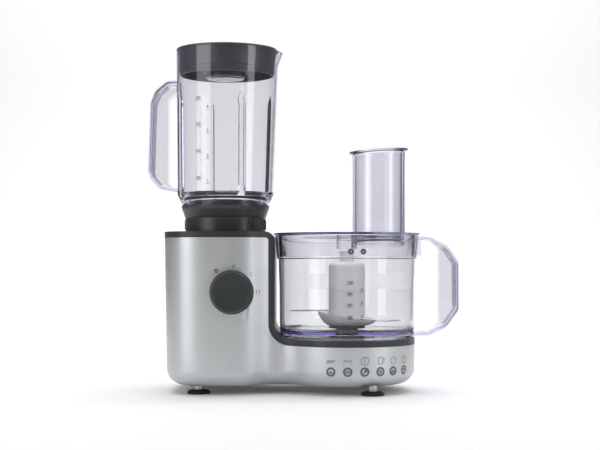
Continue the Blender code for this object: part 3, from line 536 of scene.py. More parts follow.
def make_deck():
    deck = loft("deck_moulding", body_rings(0.0))
    boolean(deck, "INTERSECT", above_deck("band", BAND))
    inside = loft("inside", body_rings(WALL))
    boolean(inside, "DIFFERENCE", above_deck("skin", 2.6))
    boolean(deck, "DIFFERENCE", above_deck("space", 0.0))
    boolean(deck, "DIFFERENCE", inside)
    boolean(deck, "DIFFERENCE", cylinder("bowl_seat", SEAT_R, PLATFORM_Z, 300.0, BOWL, 160))
    for name, outer, inner, low, high, at in (
        ("jug_boss", 39.0, 36.4, TOWER_TOP_Z - 1.2, 181.0, MOTOR),
        ("bowl_boss", 32.0, 21.0, PLATFORM_Z - 1.2, 62.5, BOWL),
    ):
        profile = rounded([(inner, high, 0.6), (outer, high, 0.9), (outer, low), (inner, low)], 3)
        boolean(deck, "UNION", lathe(name, profile, at, 96, closed=True))
    for name, radius, low, high, at in (
        ("coupling_hole", 17.5, 160.0, 190.0, MOTOR),
        ("spindle_hole", 19.8, 40.0, 80.0, BOWL),
        ("bowl_pin_hole", 3.4, 40.0, 80.0, axis_of("bowl_interlock_pin")),
        ("jug_pin_hole", 3.4, 160.0, 190.0, axis_of("jug_interlock_pin")),
    ):
        boolean(deck, "DIFFERENCE", cylinder(name, radius, low, high, at, 64))
    bevelled(deck, 0.5, 3, 50.0)
    smooth(deck, 30.0)
    finish_piece(deck, MATERIALS["dark_trim"], "base", ["top_deck"])


def make_feet():
    for place in ("front_left", "front_right", "rear_left", "rear_right"):
        at = axis_of(f"rubber_foot_{place}")
        pad = [
            (0.0, 4.3), (8.0, 4.3, 0.6), (10.6, 3.6, 0.8), (12.5, 2.0, 0.8), (12.6, 0.8, 0.5),
            (11.6, 0.0, 0.4), (0.0, 0.0),
        ]
        foot = lathe(f"foot_pad_{place}", rounded(pad, 4), at, 72)
        finish_piece(foot, MATERIALS["rubber"], "base", [f"rubber_foot_{place}"])
        stem = [
            (0.0, 13.0), (4.8, 13.0), (4.8, 6.6, 0.2), (4.4, 6.2, 0.2), (4.8, 5.8, 0.2),
            (4.8, 4.6, 0.3), (0.0, 4.6),
        ]
        post = lathe(f"foot_stem_{place}", rounded(stem, 3), at, 48)
        finish_piece(post, MATERIALS["silver_shell"], "base", [f"foot_post_{place}"])


def make_knob():
    back, face, stem_end = KNOB_SEAT_Y - GAP, KNOB_FACE_Y, -60.0
    profile = [
        (0.0, face + 0.9), (KNOB_R - 5.2, face + 0.9, 1.0), (KNOB_R - 4.4, face, 0.6),
        (KNOB_R - 2.4, face, 1.4), (KNOB_R - 1.4, back - 3.6, 0.4), (KNOB_R, back - 2.6, 0.5),
        (KNOB_R, back, 0.3), (3.3, back), (3.3, stem_end), (0.0, stem_end),
    ]
    knob = lathe("knob_cap", rounded(profile, 5), (KNOB_X, KNOB_Z), 144, axis="Y")
    finish_piece(knob, MATERIALS["dark_trim"], "knob", ["control_knob"])


# ---- the jug ------------------------------------------------------------------------------
JUG_R_TOP, JUG_R_LOW, JUG_WALL = 54.5, 53.3, 2.6
JUG_LOW_Z, JUG_RIM_Z = 214.5, 374.5  # heights of those two radii
SPOUT_Z, SPOUT_REACH, SPOUT_DROP = 357.0, 4.2, 2.2
FLARE_FOOT_Z, FLARE = 212.0, 5.0  # the wall leans out towards the pouring lip
SPOUT_ANGLE = 90.0
RIB_ANGLES = (23.0, 113.0, 203.0, 293.0)
RIB_FOOT_Z, RIB_TOP_Z, RIB_HALF = 214.0, 328.0, 4.3  # the last in degrees
RIB_OUTER_DENT, RIB_INNER_DENT = 0.5, 3.4
HALF_WIDTH = 171.0  # the two handles end this far left and right
HANDLE_WIDTH, HANDLE_WALL, HANDLE_EDGE, HANDLE_TAPER = 25.0, 2.8, 2.0, 3.0


def angle_gap(a, degrees):
    """Unsigned difference between an angle in radians and one in degrees, in degrees."""
    return abs((math.degrees(a) - degrees + 180.0) % 360.0 - 180.0)


def jug_radius(z):
    return JUG_R_LOW + (JUG_R_TOP - JUG_R_LOW) * (z - JUG_LOW_Z) / (JUG_RIM_Z - JUG_LOW_Z)


def spout_share(angle, width):
    """1 under the pouring lip, falling to nothing over `width` degrees and more."""
    return math.exp(-((angle_gap(angle, SPOUT_ANGLE) / width) ** 2))


def jug_warp(angle, r, z):
    """Presses the four ribs inwards, leans one side out and pulls its pouring lip further."""
    nearest = min(angle_gap(angle, a) for a in RIB_ANGLES)
    if RIB_FOOT_Z < z < RIB_TOP_Z:
        half = RIB_HALF * min((RIB_TOP_Z - z) / 12.0, 1.0) ** 0.5
        if nearest < half:
            fade = min((RIB_TOP_Z - z) / 9.0, 1.0) * min((z - RIB_FOOT_Z) / 5.0, 1.0)
            dent = RIB_OUTER_DENT if r > jug_radius(z) - 1.2 else RIB_INNER_DENT
            r -= dent * math.sqrt(1 - (nearest / half) ** 2) * fade
    if z > FLARE_FOOT_Z and r > 45.0:
        up = (z - FLARE_FOOT_Z) / (JUG_RIM_Z - FLARE_FOOT_Z)
        r += FLARE * up * spout_share(angle, 40.0)
    if z > SPOUT_Z and r > 45.0:
        up = ((z - SPOUT_Z) / (JUG_RIM_Z - SPOUT_Z)) ** 1.1
        r += SPOUT_REACH * spout_share(angle, 9.5) * up
        z -= SPOUT_DROP * spout_share(angle, 9.5) * up
    return r, z


def path_round(points, radii, steps=14):
    """Points and headings along a flat path through corners rounded by arcs."""
    heading = (Vector(points[1]) - Vector(points[0])).normalized()
    path = [(Vector(points[0]), heading)]
    for before, corner, after, radius in zip(points, points[1:], points[2:], radii):
        before, corner, after = Vector(before), Vector(corner), Vector(after)
        a, b = (before - corner).normalized(), (after - corner).normalized()
        half = math.acos(max(-1.0, min(1.0, a.dot(b)))) / 2
        reach = radius / math.tan(half)
        centre = corner + (a + b).normalized() * radius / math.sin(half)
        first, last = corner + a * reach - centre, corner + b * reach - centre
        angle = first.angle_signed(last)
        for i in range(steps + 1):
            turn = Matrix.Rotation(-angle * i / steps, 2)
            path.append((centre + turn @ first, turn @ -a))
    heading = (Vector(points[-1]) - Vector(points[-2])).normalized()
    return path + [(Vector(points[-1]), heading)]


def grip(name, at, outer, inner, radii, inner_radii, inward):
    """A handle of two flat flanges and a web along their outer edge, open on the finger side.

    The web is thicker at the back, as a moulding's draft makes it, and its outer edges are round.
    """
    edge = path_round(outer, radii, 10)
    finger = path_round(inner, inner_radii, 8)
    half, slot = HANDLE_WIDTH / 2, HANDLE_WIDTH / 2 - HANDLE_WALL

    def moved(path, distance):
        return [p + Vector((-along.y, along.x)) * inward * distance for p, along in path]

    def ring(y, edge_in, finger_in=0.0):
        outline = moved(edge, edge_in) + moved(finger, finger_in)[::-1]
        return [(at[0] + p.x, at[1] + y, p.y) for p in outline]

    turns = [math.radians(18.0 * k) for k in range(6)]
    near = [(HANDLE_EDGE * (1 - math.cos(a)) - half, HANDLE_EDGE * (1 - math.sin(a))) for a in turns]
    far = [(-y, inset) for y, inset in reversed(near)]
    handle = loft(name, [ring(y, inset) for y, inset in near + far])
    open_end = 3.0
    front = ring(-slot, HANDLE_WALL, open_end)
    back = ring(slot, HANDLE_WALL + HANDLE_TAPER, open_end)
    return boolean(handle, "DIFFERENCE", loft("hollow", [front, back]))


def make_jug():
    outer = [(JUG_R_TOP - 0.1, JUG_RIM_Z, 0.5), (JUG_R_TOP, JUG_RIM_Z - 1.0)]
    outer += [(jug_radius(z), z) for z in range(372, 214, -4)]
    foot = [
        (51.9, 212.6, 2.0), (50.9, 209.5, 2.0), (47.6, 204.8, 0.6), (46.5, 203.9, 0.3), (46.5, 200.0),
        (43.8, 200.0), (43.8, 211.0, 0.6), (47.4, 213.0, 1.5), (49.4, 216.4, 2.0),
    ]
    inner = [(jug_radius(z) - JUG_WALL, z) for z in range(218, 374, 4)]
    inner.append((JUG_R_TOP - JUG_WALL, JUG_RIM_Z, 0.4))
    profile = rounded(outer + foot + inner, 4)
    jug = lathe("jug_wall", profile, MOTOR, 360, closed=True, warp=jug_warp)
    reach = HALF_WIDTH + MOTOR[0]
    edge = [
        (-52.8, 342.0), (-64.5, 341.2), (-77.5, 330.0), (2.4 - reach, 317.0), (-reach, 241.0),
        (-82.0, 232.5), (-72.5, 221.5), (-52.0, 218.2),
    ]
    finger = [(-52.8, 329.6), (-63.0, 321.8), (-63.3, 227.5), (-55.5, 223.2), (-52.0, 222.8)]
    edge_radii, finger_radii = (12.0, 10.0, 12.0, 8.0, 10.0, 12.0), (3.6, 4.0, 4.0)
    handle = grip("handle", MOTOR, edge, finger, edge_radii, finger_radii, 1)
    boolean(jug, "UNION", handle)
    flat_shaded(smooth(jug, 34.0))
    finish_piece(jug, MATERIALS["clear_plastic"], "jug", ["jug"])


COLLAR_R = 44.3
RIBBED_ARCS = ((36.0, 94.0), (216.0, 274.0))
COLLAR_RIB_STEP, COLLAR_RIB_HEIGHT = 5.8, 0.9  # the step in degrees


def collar_warp(angle, r, z):
    """Grip ribs on two sides of the skirt."""
    if 43.8 < r < 44.6 and 177.0 < z < 188.0:
        degrees = math.degrees(angle)
        for start, end in RIBBED_ARCS:
            if start < degrees < end:
                wave = math.cos(math.tau * (degrees - start) / COLLAR_RIB_STEP)
                r += COLLAR_RIB_HEIGHT * max(wave, -0.4)
    return r, z


def make_collar():
    profile = [
        (43.2, 210.5, 0.4), (43.2, 198.2), (47.0, 198.2), (47.0, 203.6, 0.3), (48.9, 203.6, 0.4),
        (48.1, 199.6, 6.0), (46.2, 194.6, 6.0), (44.9, 190.4, 0.4), (44.4, 190.0, 0.2),
        (COLLAR_R, 188.6), (COLLAR_R, 187.2), (COLLAR_R, 178.0), (COLLAR_R, 176.4),
        (COLLAR_R, 174.4, 0.4), (41.0, 174.4, 0.3), (41.0, 191.0, 1.0), (38.0, 193.4, 1.0),
        (4.6, 193.4), (4.6, 198.5, 0.3), (39.4, 198.5, 1.5), (40.6, 210.5, 0.4),
    ]
    collar = lathe("collar", rounded(profile, 4), MOTOR, 480, closed=True, warp=collar_warp)
    finish_piece(collar, COLLAR_GLOSS, "blade_unit", ["blade_carrier"])


def lid_warp(angle, r, z):
    """The jug's lid follows the side that leans out."""
    if r > 40.0:
        r += 3.2 * spout_share(angle, 42.0)
    return r, z


def make_jug_lid():
    skirt = 51.2
    profile = [
        (22.8, 376.6, 0.3), (30.0, 376.6, 1.0), (31.0, 375.9, 1.0), (49.0, 375.9, 1.0),
        (50.0, 376.6, 1.0), (54.0, 376.6, 0.6), (54.5, 375.9, 0.4), (54.5, 374.8, 0.3),
        (skirt, 374.8, 0.4), (skirt, 354.6), (skirt - 0.5, 354.1), (skirt - 0.5, 353.3),
        (skirt, 352.8), (skirt - 0.2, 350.4), (skirt - 0.7, 350.0), (skirt - 0.9, 347.4, 0.4),
        (skirt - 3.0, 347.0, 0.4), (skirt - 3.0, 373.6), (25.0, 373.6), (25.0, 351.0, 0.3),
        (22.8, 351.0, 0.3),
    ]
    lid = lathe("jug_lid_moulding", rounded(profile, 4), MOTOR, 192, closed=True, warp=lid_warp)
    finish_piece(lid, LID_GLOSS, "jug_lid", ["jug_lid"])
    cap = [
        (0.0, 345.8), (18.6, 345.8, 1.2), (20.2, 378.9, 0.5), (21.0, 379.6, 0.5),
        (24.0, 379.6, 0.5), (24.4, 379.0, 0.4), (24.4, 376.9, 0.3), (22.2, 376.9, 0.3),
        (21.6, 346.0, 1.5), (19.4, 343.6, 1.5), (0.0, 343.6),
    ]
    cup = lathe("filler_cup", rounded(cap, 5), MOTOR, 160)
    finish_piece(cup, TUBE_PLASTIC, "filler_cap", ["filler_cap"])


# ---- the bowl -----------------------------------------------------------------------------
def make_bowl():
    floor, seam, rim = 67.5, 144.6, 171.0
    profile = [
        (79.0, rim, 0.4), (76.9, seam + 0.9, 0.3), (76.5, seam + 0.3, 0.2), (75.1, seam - 0.1, 0.25),
        (74.9, 130.0, 20.0), (74.2, 113.0, 20.0), (74.0, 67.6, 2.0), (72.6, 62.0, 3.0),
        (69.4, 59.2, 0.8), (65.8, 59.2, 0.5), (65.6, floor - 2.5, 0.6), (9.3, floor - 2.5),
        (9.3, 104.0, 0.4), (11.5, 104.0, 0.4), (11.5, floor, 1.2), (69.6, floor, 1.6),
        (71.8, 69.8, 1.6), (72.0, 113.0, 20.0), (72.7, 130.0, 20.0), (73.1, seam, 0.6),
        (74.9, seam + 1.4, 0.5), (76.9, rim, 0.3),
    ]
    bowl = lathe("bowl_wall", rounded(profile, 6), BOWL, 224, closed=True)
    reach = HALF_WIDTH - BOWL[0]
    edge = [
        (77.4, 169.4), (90.0, 168.8), (110.0, 159.0), (reach - 0.4, 141.0), (reach, 89.0),
        (109.0, 70.0), (89.0, 60.9), (71.8, 60.6),
    ]
    finger = [(77.4, 165.4), (92.0, 164.4), (100.6, 157.5), (100.6, 74.0), (90.0, 65.4), (72.6, 64.6)]
    edge_radii, finger_radii = (14.0, 15.0, 11.0, 11.0, 15.0, 14.0), (6.0, 4.0, 5.0, 6.0)
    handle = grip("handle", BOWL, edge, finger, edge_radii, finger_radii, -1)
    boolean(bowl, "UNION", handle)
    corners = ((124.2, -19.0), (129.4, -19.0), (129.4, -5.0), (124.2, -5.0))
    root = loft("root", [[(x, y, z) for x, y in corners] for z in (148.2, 167.8)])
    boolean(bowl, "UNION", root)
    flat_shaded(smooth(bowl, 34.0))
    finish_piece(bowl, MATERIALS["clear_plastic"], "bowl", ["bowl"])


TUBE_R, TUBE_TOP_Z = 29.7, 261.0
TUBE_TILT = math.tan(math.radians(3.5))


def tilt_above(obj, height, fade=8.0):
    """Leans what is above a height, so that the lip is lower on its left."""
    for vertex in obj.data.vertices:
        above = vertex.co.z / MM - height
        if above > 0.0:
            vertex.co.z += TUBE_TILT * (vertex.co.x - TUBE[0] * MM) * min(above / fade, 1.0)


def make_bowl_lid():
    top = 173.0
    profile = [
        (0.0, top), (66.0, top, 0.6), (67.0, top - 0.7, 0.6), (78.6, top - 0.7, 0.6),
        (80.2, top, 0.6), (80.8, top - 0.5, 0.4), (80.8, 171.3, 0.3), (75.2, 171.3, 0.4),
        (73.8, 147.4, 0.4), (71.8, 147.0, 0.4), (73.0, top - 2.4, 1.0), (11.4, top - 2.4, 0.6),
        (11.4, 160.0, 0.4), (9.6, 160.0, 0.4), (9.6, top - 2.2, 0.5), (0.0, top - 2.2),
    ]
    lid = lathe("bowl_cover", rounded(profile, 4), BOWL, 224)
    shaft = [
        (TUBE_R - 2.0, TUBE_TOP_Z, 0.5), (TUBE_R, TUBE_TOP_Z, 0.5),
        (TUBE_R, 164.0, 0.4), (TUBE_R - 2.2, 164.0, 0.4), (TUBE_R - 2.2, TUBE_TOP_Z - 6),
    ]
    feed = lathe("feed", rounded(shaft, 4), TUBE, 160, closed=True)
    tilt_above(feed, 250.0)
    boolean(lid, "DIFFERENCE", cylinder("feed_hole", TUBE_R - 1.2, 150.0, 200.0, TUBE, 160))
    boolean(lid, "UNION", feed)
    smooth(lid, 34.0)
    finish_piece(lid, TUBE_PLASTIC, "bowl_lid", ["bowl_lid"])


def make_pusher():
    outer, inner, top = TUBE_R - 2.9, TUBE_R - 4.9, TUBE_TOP_Z
    profile = [
        (0.0, 170.4), (inner, 170.4, 1.5), (inner, top - 2.0, 1.0), (inner + 0.8, top + 4.2, 0.8),
        (TUBE_R + 2.6, top + 4.2, 0.3), (TUBE_R + 2.9, top + 3.8, 0.3),
        (TUBE_R + 2.9, top + 1.9, 0.3), (TUBE_R + 0.6, top + 1.4, 0.4),
        (outer - 0.2, top + 0.5, 0.6), (outer - 0.4, top - 8.0), (outer, 173.0),
        (outer - 0.6, 169.0, 2.0), (outer - 3.0, 168.0, 1.0), (0.0, 168.0),
    ]
    pusher = lathe("pusher_cup", rounded(profile, 4), TUBE, 160)
    tilt_above(pusher, TUBE_TOP_Z - 12.0)
    finish_piece(pusher, PUSHER_PLASTIC, "pusher", ["pusher"])


# ---- the knife ----------------------------------------------------------------------------
DISH_TILT = math.tan(math.radians(8.2))


def make_knife():
    profile = [
        (0.0, 157.5), (8.3, 157.5, 0.3), (8.6, 157.0, 0.2), (8.6, 156.0, 0.3), (7.9, 155.4, 0.4),
        (7.9, 141.6, 0.5), (9.0, 141.2), (20.0, 140.4, 6.0), (20.1, 127.0), (20.2, 73.6, 1.5),
        (18.6, 71.5, 0.5), (12.5, 71.5), (12.5, 107.0), (9.4, 109.0), (9.4, 114.5), (5.7, 116.0),
        (5.7, 152.0), (0.0, 152.0),
    ]
    hub = lathe("knife_core", rounded(profile, 5), BOWL, 144)
    finish_piece(hub, MATERIALS["grey_plastic"], "knife", ["knife_hub"])

    def dish_warp(angle, r, z):
        """The rim follows a leaning plane, high on the left."""
        lift = max(r - 20.0, 0.0) / 12.4
        across = r * math.sin(angle)
        return r, z - DISH_TILT * across * lift ** 1.3

    dish = [
        (32.0, 82.3, 0.4), (31.2, 79.6), (28.8, 76.4), (25.6, 73.8), (22.0, 72.2), (19.4, 71.7, 0.3),
        (19.4, 74.2), (22.4, 75.0), (26.4, 77.8), (28.8, 80.4), (30.4, 82.6, 0.4),
    ]
    skirt = lathe("knife_dish", rounded(dish, 4), BOWL, 144, closed=True, warp=dish_warp)
    finish_piece(skirt, MATERIALS["grey_plastic"], "knife", [])
    ring = [(12.7, 71.2), (19.6, 71.2, 0.4), (20.2, 69.8, 0.4), (19.8, 68.8, 0.3), (12.7, 68.8)]
    seat = lathe("knife_seat_ring", rounded(ring, 3), BOWL, 96, closed=True)
    finish_piece(seat, MATERIALS["black_plastic"], "knife", [])
    for name, node, degrees, root, reach in (
        ("blade_upper", "knife_blade_upper", 180.0, 20.6, 62.5),
        ("blade_lower", "knife_blade_lower", 12.0, 29.6, 64.0),
    ):
        make_blade(name, node, degrees, foot_of(node), root, reach)


def make_blade(name, node, degrees, z, root, reach):
    """A sabre-shaped blade with a ground cutting edge."""
    cutting = [
        (root, -10.0), (root + 7, -10.8), (root + 14, -11.0), (48.0, -8.0), (54.0, -4.8), (58.0, -2.0),
        (reach, 6.0),
    ]
    back = [(reach - 3.0, 8.6), (52.0, 8.0), (root + 17, 8.6), (root, 8.0)]
    tip = len(cutting) - 1
    turn = Matrix.Rotation(math.radians(degrees), 2)

    def level(height, inset):
        ring = []
        for i, (x, y) in enumerate(cutting + back):
            if 0 < i < tip:
                y += inset
            elif i == tip:
                x -= inset
            p = turn @ Vector((x, y))
            ring.append((BOWL[0] + p.x, BOWL[1] + p.y, height))
        return ring

    blade = loft(name, [level(z, 0.0), level(z + 0.25, 0.0), level(z + 1.4, 2.6)])
    smooth(blade, 10.0)
    finish_piece(blade, MATERIALS["steel"], "knife", [node])


# ---- prints -------------------------------------------------------------------------------
DIGITS = {
    "0": [[(0, 0), (2, 0), (2, 4), (0, 4), (0, 0)]],
    "1": [[(0.4, 3.2), (1.2, 4), (1.2, 0)]],
    "2": [[(0, 3.4), (0.5, 4), (1.6, 4), (2, 3.4), (2, 2.6), (0, 0), (2, 0)]],
    "3": [[(0, 4), (2, 4), (0.9, 2.4), (2, 1.8), (2, 0.6), (1.4, 0), (0, 0)]],
    "4": [[(1.5, 0), (1.5, 4), (0, 1.2), (2, 1.2)]],
    "5": [[(2, 4), (0, 4), (0, 2.4), (1.5, 2.4), (2, 1.8), (2, 0.6), (1.5, 0), (0, 0)]],
    "6": [[(2, 4), (0.6, 4), (0, 3), (0, 0), (2, 0), (2, 2.2), (0, 2.2)]],
    "7": [[(0, 4), (2, 4), (0.6, 0)]],
    "8": [[(0, 0), (2, 0), (2, 4), (0, 4), (0, 0)], [(0, 2.1), (2, 2.1)]],
    "9": [[(0, 0), (1.4, 0), (2, 1), (2, 4), (0, 4), (0, 1.9), (2, 1.9)]],
    "I": [[(1, 0), (1, 4)]],
    "O": [[(0, 0.6), (0.6, 0), (1.4, 0), (2, 0.6), (2, 3.4), (1.4, 4), (0.6, 4), (0, 3.4), (0, 0.6)]],
    "P": [[(0, 0), (0, 4), (1.5, 4), (2, 3.4), (2, 2.4), (1.5, 1.8), (0, 1.8)]],
}


def arc(u, v, r, start=0.0, end=360.0, steps=20):
    turns = [math.radians(start + (end - start) * k / steps) for k in range(steps + 1)]
    return [(u + r * math.sin(a), v + r * math.cos(a)) for a in turns]


def number(text, u, v, height):
    """Strokes of a number centred on (u, v)."""
    unit = height / 4
    pitch = 3.1 * unit
    wide = len(text) * pitch - 1.1 * unit
    strokes = []
    for i, letter in enumerate(text):
        for line in DIGITS[letter]:
            left = u - wide / 2 + i * pitch
            strokes.append([(left + x * unit, v - height / 2 + y * unit) for x, y in line])
    return strokes


class Print:
    """Ink strokes laid on a surface that place(u, v) describes."""

    def __init__(self, place):
        self.place, self.verts, self.faces = place, [], []

    def quad(self, corners):
        start = len(self.verts)
        self.verts += [self.place(u, v) for u, v in corners]
        self.faces.append(tuple(range(start, start + len(corners))))

    def stroke(self, line, width):
        for (ua, va), (ub, vb) in zip(line, line[1:]):
            length = math.hypot(ub - ua, vb - va) or 1.0
            du, dv = (ub - ua) / length * width / 2, (vb - va) / length * width / 2
            ua, va, ub, vb = ua - du * 0.6, va - dv * 0.6, ub + du * 0.6, vb + dv * 0.6
            self.quad([(ua + dv, va - du), (ub + dv, vb - du), (ub - dv, vb + du), (ua - dv, va + du)])

    def strokes(self, lines, width):
        for line in lines:
            self.stroke(line, width)

    def blot(self, outline):
        """A filled convex shape."""
        self.quad(outline)

    def make(self, name, material, body):
        obj = make_object(name, self.verts, self.faces)
        return finish_piece(obj, material, body)


def on_tower_front(x, z):
    """The body's front surface at a given x and z, a hair proud of it."""
    ring = skin(z)
    for (xa, ya, _), (xb, yb, _) in zip(ring, ring[1:] + ring[:1]):
        if max(ya, yb) < -20.0 and min(xa, xb) <= x <= max(xa, xb) and x < TOWER_X + TOWER_HALF_X:
            share = (x - xa) / (xb - xa) if xb != xa else 0.0
            return (x, ya + (yb - ya) * share - 0.07, z)
    return (x, TOWER_FRONT_Y, z)


def on_lobe(u, v, degrees, z):
    """A point at arc length u and height v from a spot on the platform's round front."""
    height = z + v
    centre_z = UNDERSIDE_Z + BOTTOM_ROUND
    inset = draft_inset(max(height, centre_z)) - 0.05
    if height < centre_z:
        inset += BOTTOM_ROUND - math.sqrt(BOTTOM_ROUND ** 2 - (centre_z - height) ** 2)
    radius = LOBE_R - inset
    angle = math.radians(degrees) + u / radius
    return (BOWL[0] + radius * math.sin(angle), BOWL[1] - radius * math.cos(angle), height)


def dial_marks():
    dark, red = Print(on_tower_front), Print(on_tower_front)
    for text, degrees, height in (("O", 4.0, 3.0), ("I", 47.0, 3.8), ("II", 89.0, 3.8)):
        a = math.radians(degrees)
        dark.strokes(number(text, KNOB_X + 27.4 * math.sin(a), KNOB_Z + 27.4 * math.cos(a), height), 0.6)
    a = math.radians(-36.0)
    u, v = KNOB_X + 27.8 * math.sin(a), KNOB_Z + 27.8 * math.cos(a)
    red.stroke(arc(u, v, 1.95, steps=28), 0.9)
    red.strokes(number("P", u, v, 1.9), 0.6)
    dark.make("dial_marks", PRINT_GREY, "base")
    red.make("pulse_mark", PRINT_RED, "base")


def icons():
    """Six small tool symbols, each with a ringed sign below it, along the platform's front."""
    upper_wave = [(-3.4, -0.8), (-2.2, 0.7), (-0.8, -0.6), (0.6, 0.9), (2.0, -0.4), (3.4, 1.1)]
    lower_wave = [(-3.2, -1.8), (-1.8, -0.6), (-0.4, -1.7), (1.2, -0.3), (2.8, -1.2)]
    beaker = [(-2.2, 2.6), (2.2, 2.6), (1.7, -2.6), (-1.7, -2.6), (-2.2, 2.6)]
    symbols = [
        [upper_wave, lower_wave],
        [upper_wave, [(-3.4, -2.0), (3.2, -2.0)]],
        [arc(0, 0, 3.2, steps=24), [(0, -2.0), (0, 2.4)]],
        [beaker, [(2.1, 1.8), (3.4, 1.6), (3.2, -0.9), (1.9, -1.4)]],
        [arc(0, -0.2, 2.9, 30, 330, 22), [(0, 0.6), (0, 3.4)]],
        [arc(0, 0, 3.0, 20, 340, 22), [(0, 0.0), (0, 3.6)]],
    ]
    inner = [
        [[(-2.0, -0.8), (0.0, 0.8), (2.0, -0.8)], [(-1.4, -1.6), (1.4, -1.6)]],
        [arc(0, 0, 1.4, steps=14), [(-2.4, 0), (-1.4, 0)], [(1.4, 0), (2.4, 0)]],
        [[(-1.8, -1.8), (1.8, 1.8)], arc(0.9, 0.9, 1.1, steps=12)],
        [[(-1.6, -1.8), (-1.6, 1.8)], [(0, -1.8), (0, 1.8)], [(1.6, -1.8), (1.6, 1.8)]],
        [arc(0, 0, 2.0, 90, 270, 12), [(-2.0, 0.0), (2.0, 0.0)], [(0, 0), (0, 2.2)]],
        [[(-2.0, 1.0), (0, -1.8), (2.0, 1.0), (-2.0, 1.0)]],
    ]
    marks = Print(None)  # its place follows the mark that is being drawn
    for degrees, symbol, glyph in zip((-15.2, -1.4, 12.6, 26.4, 39.2, 53.0), symbols, inner):
        marks.place = lambda u, v: on_lobe(u * 1.3, v * 1.3, degrees, 37.9)
        marks.strokes(symbol, 0.5)
        marks.place = lambda u, v: on_lobe(u, v, degrees, 26.5)
        marks.stroke(arc(0, 0, 3.95, steps=36), 2.0)
        marks.strokes(glyph, 1.1)
    marks.make("tool_symbols", PRINT_GREY, "base")


def round_wall(at, radius_at, degrees):
    """Places prints on a round wall, at arc length u from an angle and height v."""
    def place(u, v):
        radius = radius_at(v) + 0.05
        angle = math.radians(degrees) + u / radius
        return (at[0] + radius * math.sin(angle), at[1] - radius * math.cos(angle), v)
    return place


def jug_scale():
    ml = Print(round_wall(MOTOR, jug_radius, -29.7))
    for text, z in (("800", 317.8), ("600", 289.8), ("400", 261.3), ("200", 232.3)):
        ml.strokes(number(text, 0.0, z, 2.6), 0.45)
        ml.stroke([(-3.6, z - 2.6), (3.6, z - 2.6)], 0.45)
    for k in range(13):
        z = 229.7 + 7.1 * k
        ml.stroke([(2.2, z), (3.6, z)], 0.3)
    ml.make("jug_scale_ml", PRINT_DARK, "jug")
    cups = Print(round_wall(MOTOR, jug_radius, -17.6))
    for text, z in (("4", 308.1), ("3", 282.3), ("2", 255.4), ("1", 228.5)):
        cups.strokes(number(text, 0.0, z, 3.0), 0.55)
        cups.stroke([(-2.0, z - 3.0), (2.0, z - 3.0)], 0.45)
    cups.make("jug_scale_cups", PRINT_DARK, "jug")


def bowl_radius(z):
    """The bowl's outer radius below its rim."""
    if z < 113.0:
        return 74.0 + 0.2 * (z - 67.6) / 45.0
    return 74.2 + 0.7 * (z - 113.0) / 17.0


def rim_radius(z):
    return 76.9 + 2.1 * (z - 145.5) / 25.5


def bowl_scale():
    ml = Print(round_wall(BOWL, bowl_radius, 0.3))
    for text, z in (("1200", 120.2), ("900", 108.4), ("600", 96.7), ("300", 83.6)):
        ml.strokes(number(text, 0.0, z, 2.3), 0.52)
        ml.stroke([(-3.4, z - 2.2), (3.4, z - 2.2)], 0.52)
    ml.make("bowl_scale_ml", PRINT_DARK, "bowl")
    cups = Print(round_wall(BOWL, bowl_radius, 10.0))
    for text, z in (("5", 112.8), ("4", 98.9), ("2", 84.3)):
        cups.strokes(number(text, 0.0, z, 2.6), 0.55)
        cups.stroke([(-2.0, z - 2.5), (2.0, z - 2.5)], 0.52)
    cups.make("bowl_scale_cups", PRINT_DARK, "bowl")


def lock_marks():
    """Two round marks on the bowl's rim, for the lid's open and locked places."""
    for name, degrees in (("lock_open_mark", 1.0), ("lock_shut_mark", 10.8)):
        mark = Print(round_wall(BOWL, rim_radius, degrees))
        mark.blot(arc(0.0, 152.4, 3.1, steps=28)[:-1])
        mark.make(name, PRINT_DARK, "bowl")
        sign = Print(round_wall(BOWL, lambda z: rim_radius(z) + 0.06, degrees))
        sign.stroke(arc(0.0, 152.7, 0.7, -90, 90, 8), 0.3)
        sign.stroke([(-0.7, 151.8), (0.7, 151.8)], 0.6)
        sign.make(name + "_sign", PRINT_WHITE, "bowl")


# ---- build --------------------------------------------------------------------------------
make_housing()
make_deck()
make_feet()
make_knob()
make_collar()
make_jug()
make_jug_lid()
make_bowl()
make_bowl_lid()
make_pusher()
make_knife()
dial_marks()
icons()
jug_scale()
bowl_scale()
lock_marks()


# ---- light, floor and camera --------------------------------------------------------------
def make_stage():
    """A pale floor that sweeps up behind into a white backdrop."""
    profile = [(-3.0, 0.0, 3.5), (0.7, 0.0, 3.5), (1.1, 0.0, 1.1)]
    for k in range(1, 13):
        a = math.pi / 2 * k / 12
        profile.append((1.1 + 0.6 * math.sin(a), 0.6 - 0.6 * math.cos(a), 0.88))
    profile.append((1.7, 3.2, 0.88))
    verts = [(side * half / MM, y / MM, z / MM) for side in (-1, 1) for y, z, half in profile]
    count = len(profile)
    faces = [(i, i + count, i + count + 1, i + 1) for i in range(count - 1)]
    sweep = make_object("studio_sweep", verts, faces)
    sweep.data.shade_smooth()
    m = Nodes("sweep_paper")
    m.colour(m.noise(3.0, 3.0), (0.90, 0.90, 0.90), (0.92, 0.92, 0.92))
    m.set(Roughness=0.9, Emission_Color=(1.0, 1.0, 1.0, 1.0), Emission_Strength=0.06)
    sweep.data.materials.append(m.mat)


def area_light(name, at, target, size, power, colour=(1.0, 1.0, 1.0)):
    light = bpy.data.lights.new(name, "AREA")
    light.shape = "RECTANGLE"
    light.size, light.size_y = size
    light.energy = power
    light.color = colour
    obj = bpy.data.objects.new(name, light)
    bpy.context.scene.collection.objects.link(obj)
    obj.location = at
    direction = Vector(target) - Vector(at)
    obj.rotation_euler = direction.to_track_quat("-Z", "Y").to_euler()
    return obj


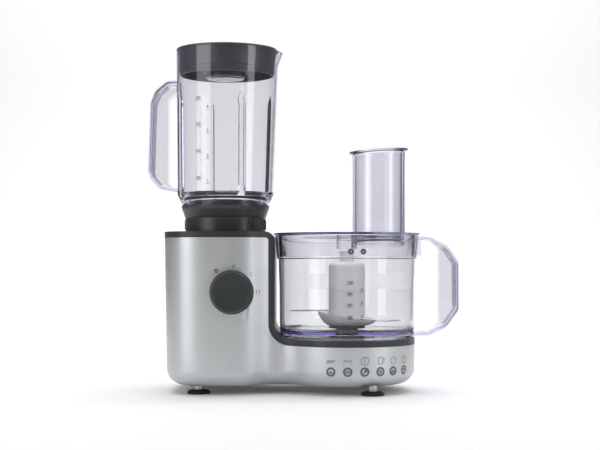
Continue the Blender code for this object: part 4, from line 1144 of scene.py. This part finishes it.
def make_world():
    """Dim to light and mirror reflections, paler where it is looked at or seen through plastic."""
    world = bpy.data.worlds.new("studio")
    bpy.context.scene.world = world
    world.use_nodes = True
    tree = world.node_tree
    background = tree.nodes["Background"]
    path = tree.nodes.new("ShaderNodeLightPath")
    tone = tree.nodes.new("ShaderNodeMix")
    tone.data_type = "RGBA"
    tone.inputs["A"].default_value = (0.95, 0.97, 1.0, 1.0)
    tone.inputs["B"].default_value = (0.78, 0.75, 1.0, 1.0)
    tree.links.new(path.outputs["Is Transmission Ray"], tone.inputs["Factor"])
    tree.links.new(tone.outputs["Result"], background.inputs["Color"])
    strength = None
    for output, share in (("Is Camera Ray", 0.75), ("Is Transmission Ray", 0.16)):
        step = tree.nodes.new("ShaderNodeMath")
        step.operation = "MULTIPLY_ADD"
        tree.links.new(path.outputs[output], step.inputs[0])
        step.inputs[1].default_value = share
        step.inputs[2].default_value = 0.13
        if strength:
            tree.links.new(strength, step.inputs[2])
        strength = step.outputs["Value"]
    tree.links.new(strength, background.inputs["Strength"])


make_stage()
make_world()
area_light("softbox_left", (-1.25, -1.0, 0.6), (-0.05, 0.0, 0.15), (1.0, 1.3), 8.6)
area_light("softbox_right", (1.3, -0.8, 0.6), (0.05, 0.0, 0.15), (0.45, 1.3), 5.2)
area_light("softbox_top", (0.0, 0.1, 1.9), (0.0, 0.0, 0.0), (2.2, 2.0), 26.0)
area_light("backdrop_wash", (0.0, 0.6, 2.4), (0.0, 1.7, 0.9), (3.0, 0.8), 28.5)

camera = bpy.data.cameras.new("camera")
camera.lens, camera.sensor_width = 75.6, 36.0
camera.shift_y = 33.0 / 600.0  # the picture's middle lies a little above the camera's height
camera_object = bpy.data.objects.new("camera", camera)
bpy.context.scene.collection.objects.link(camera_object)
camera_object.location = (-0.0033, -1.4, 0.1457)
camera_object.rotation_euler = (math.radians(90.0), 0.0, 0.0)
bpy.context.scene.camera = camera_object
bpy.context.scene.view_settings.view_transform = "Standard"
LIGHT_BOUNCES = 28  # enough to pass through every wall of the clear pieces
for bounces in ("max_bounces", "transmission_bounces", "transparent_max_bounces"):
    setattr(bpy.context.scene.cycles, bounces, LIGHT_BOUNCES)
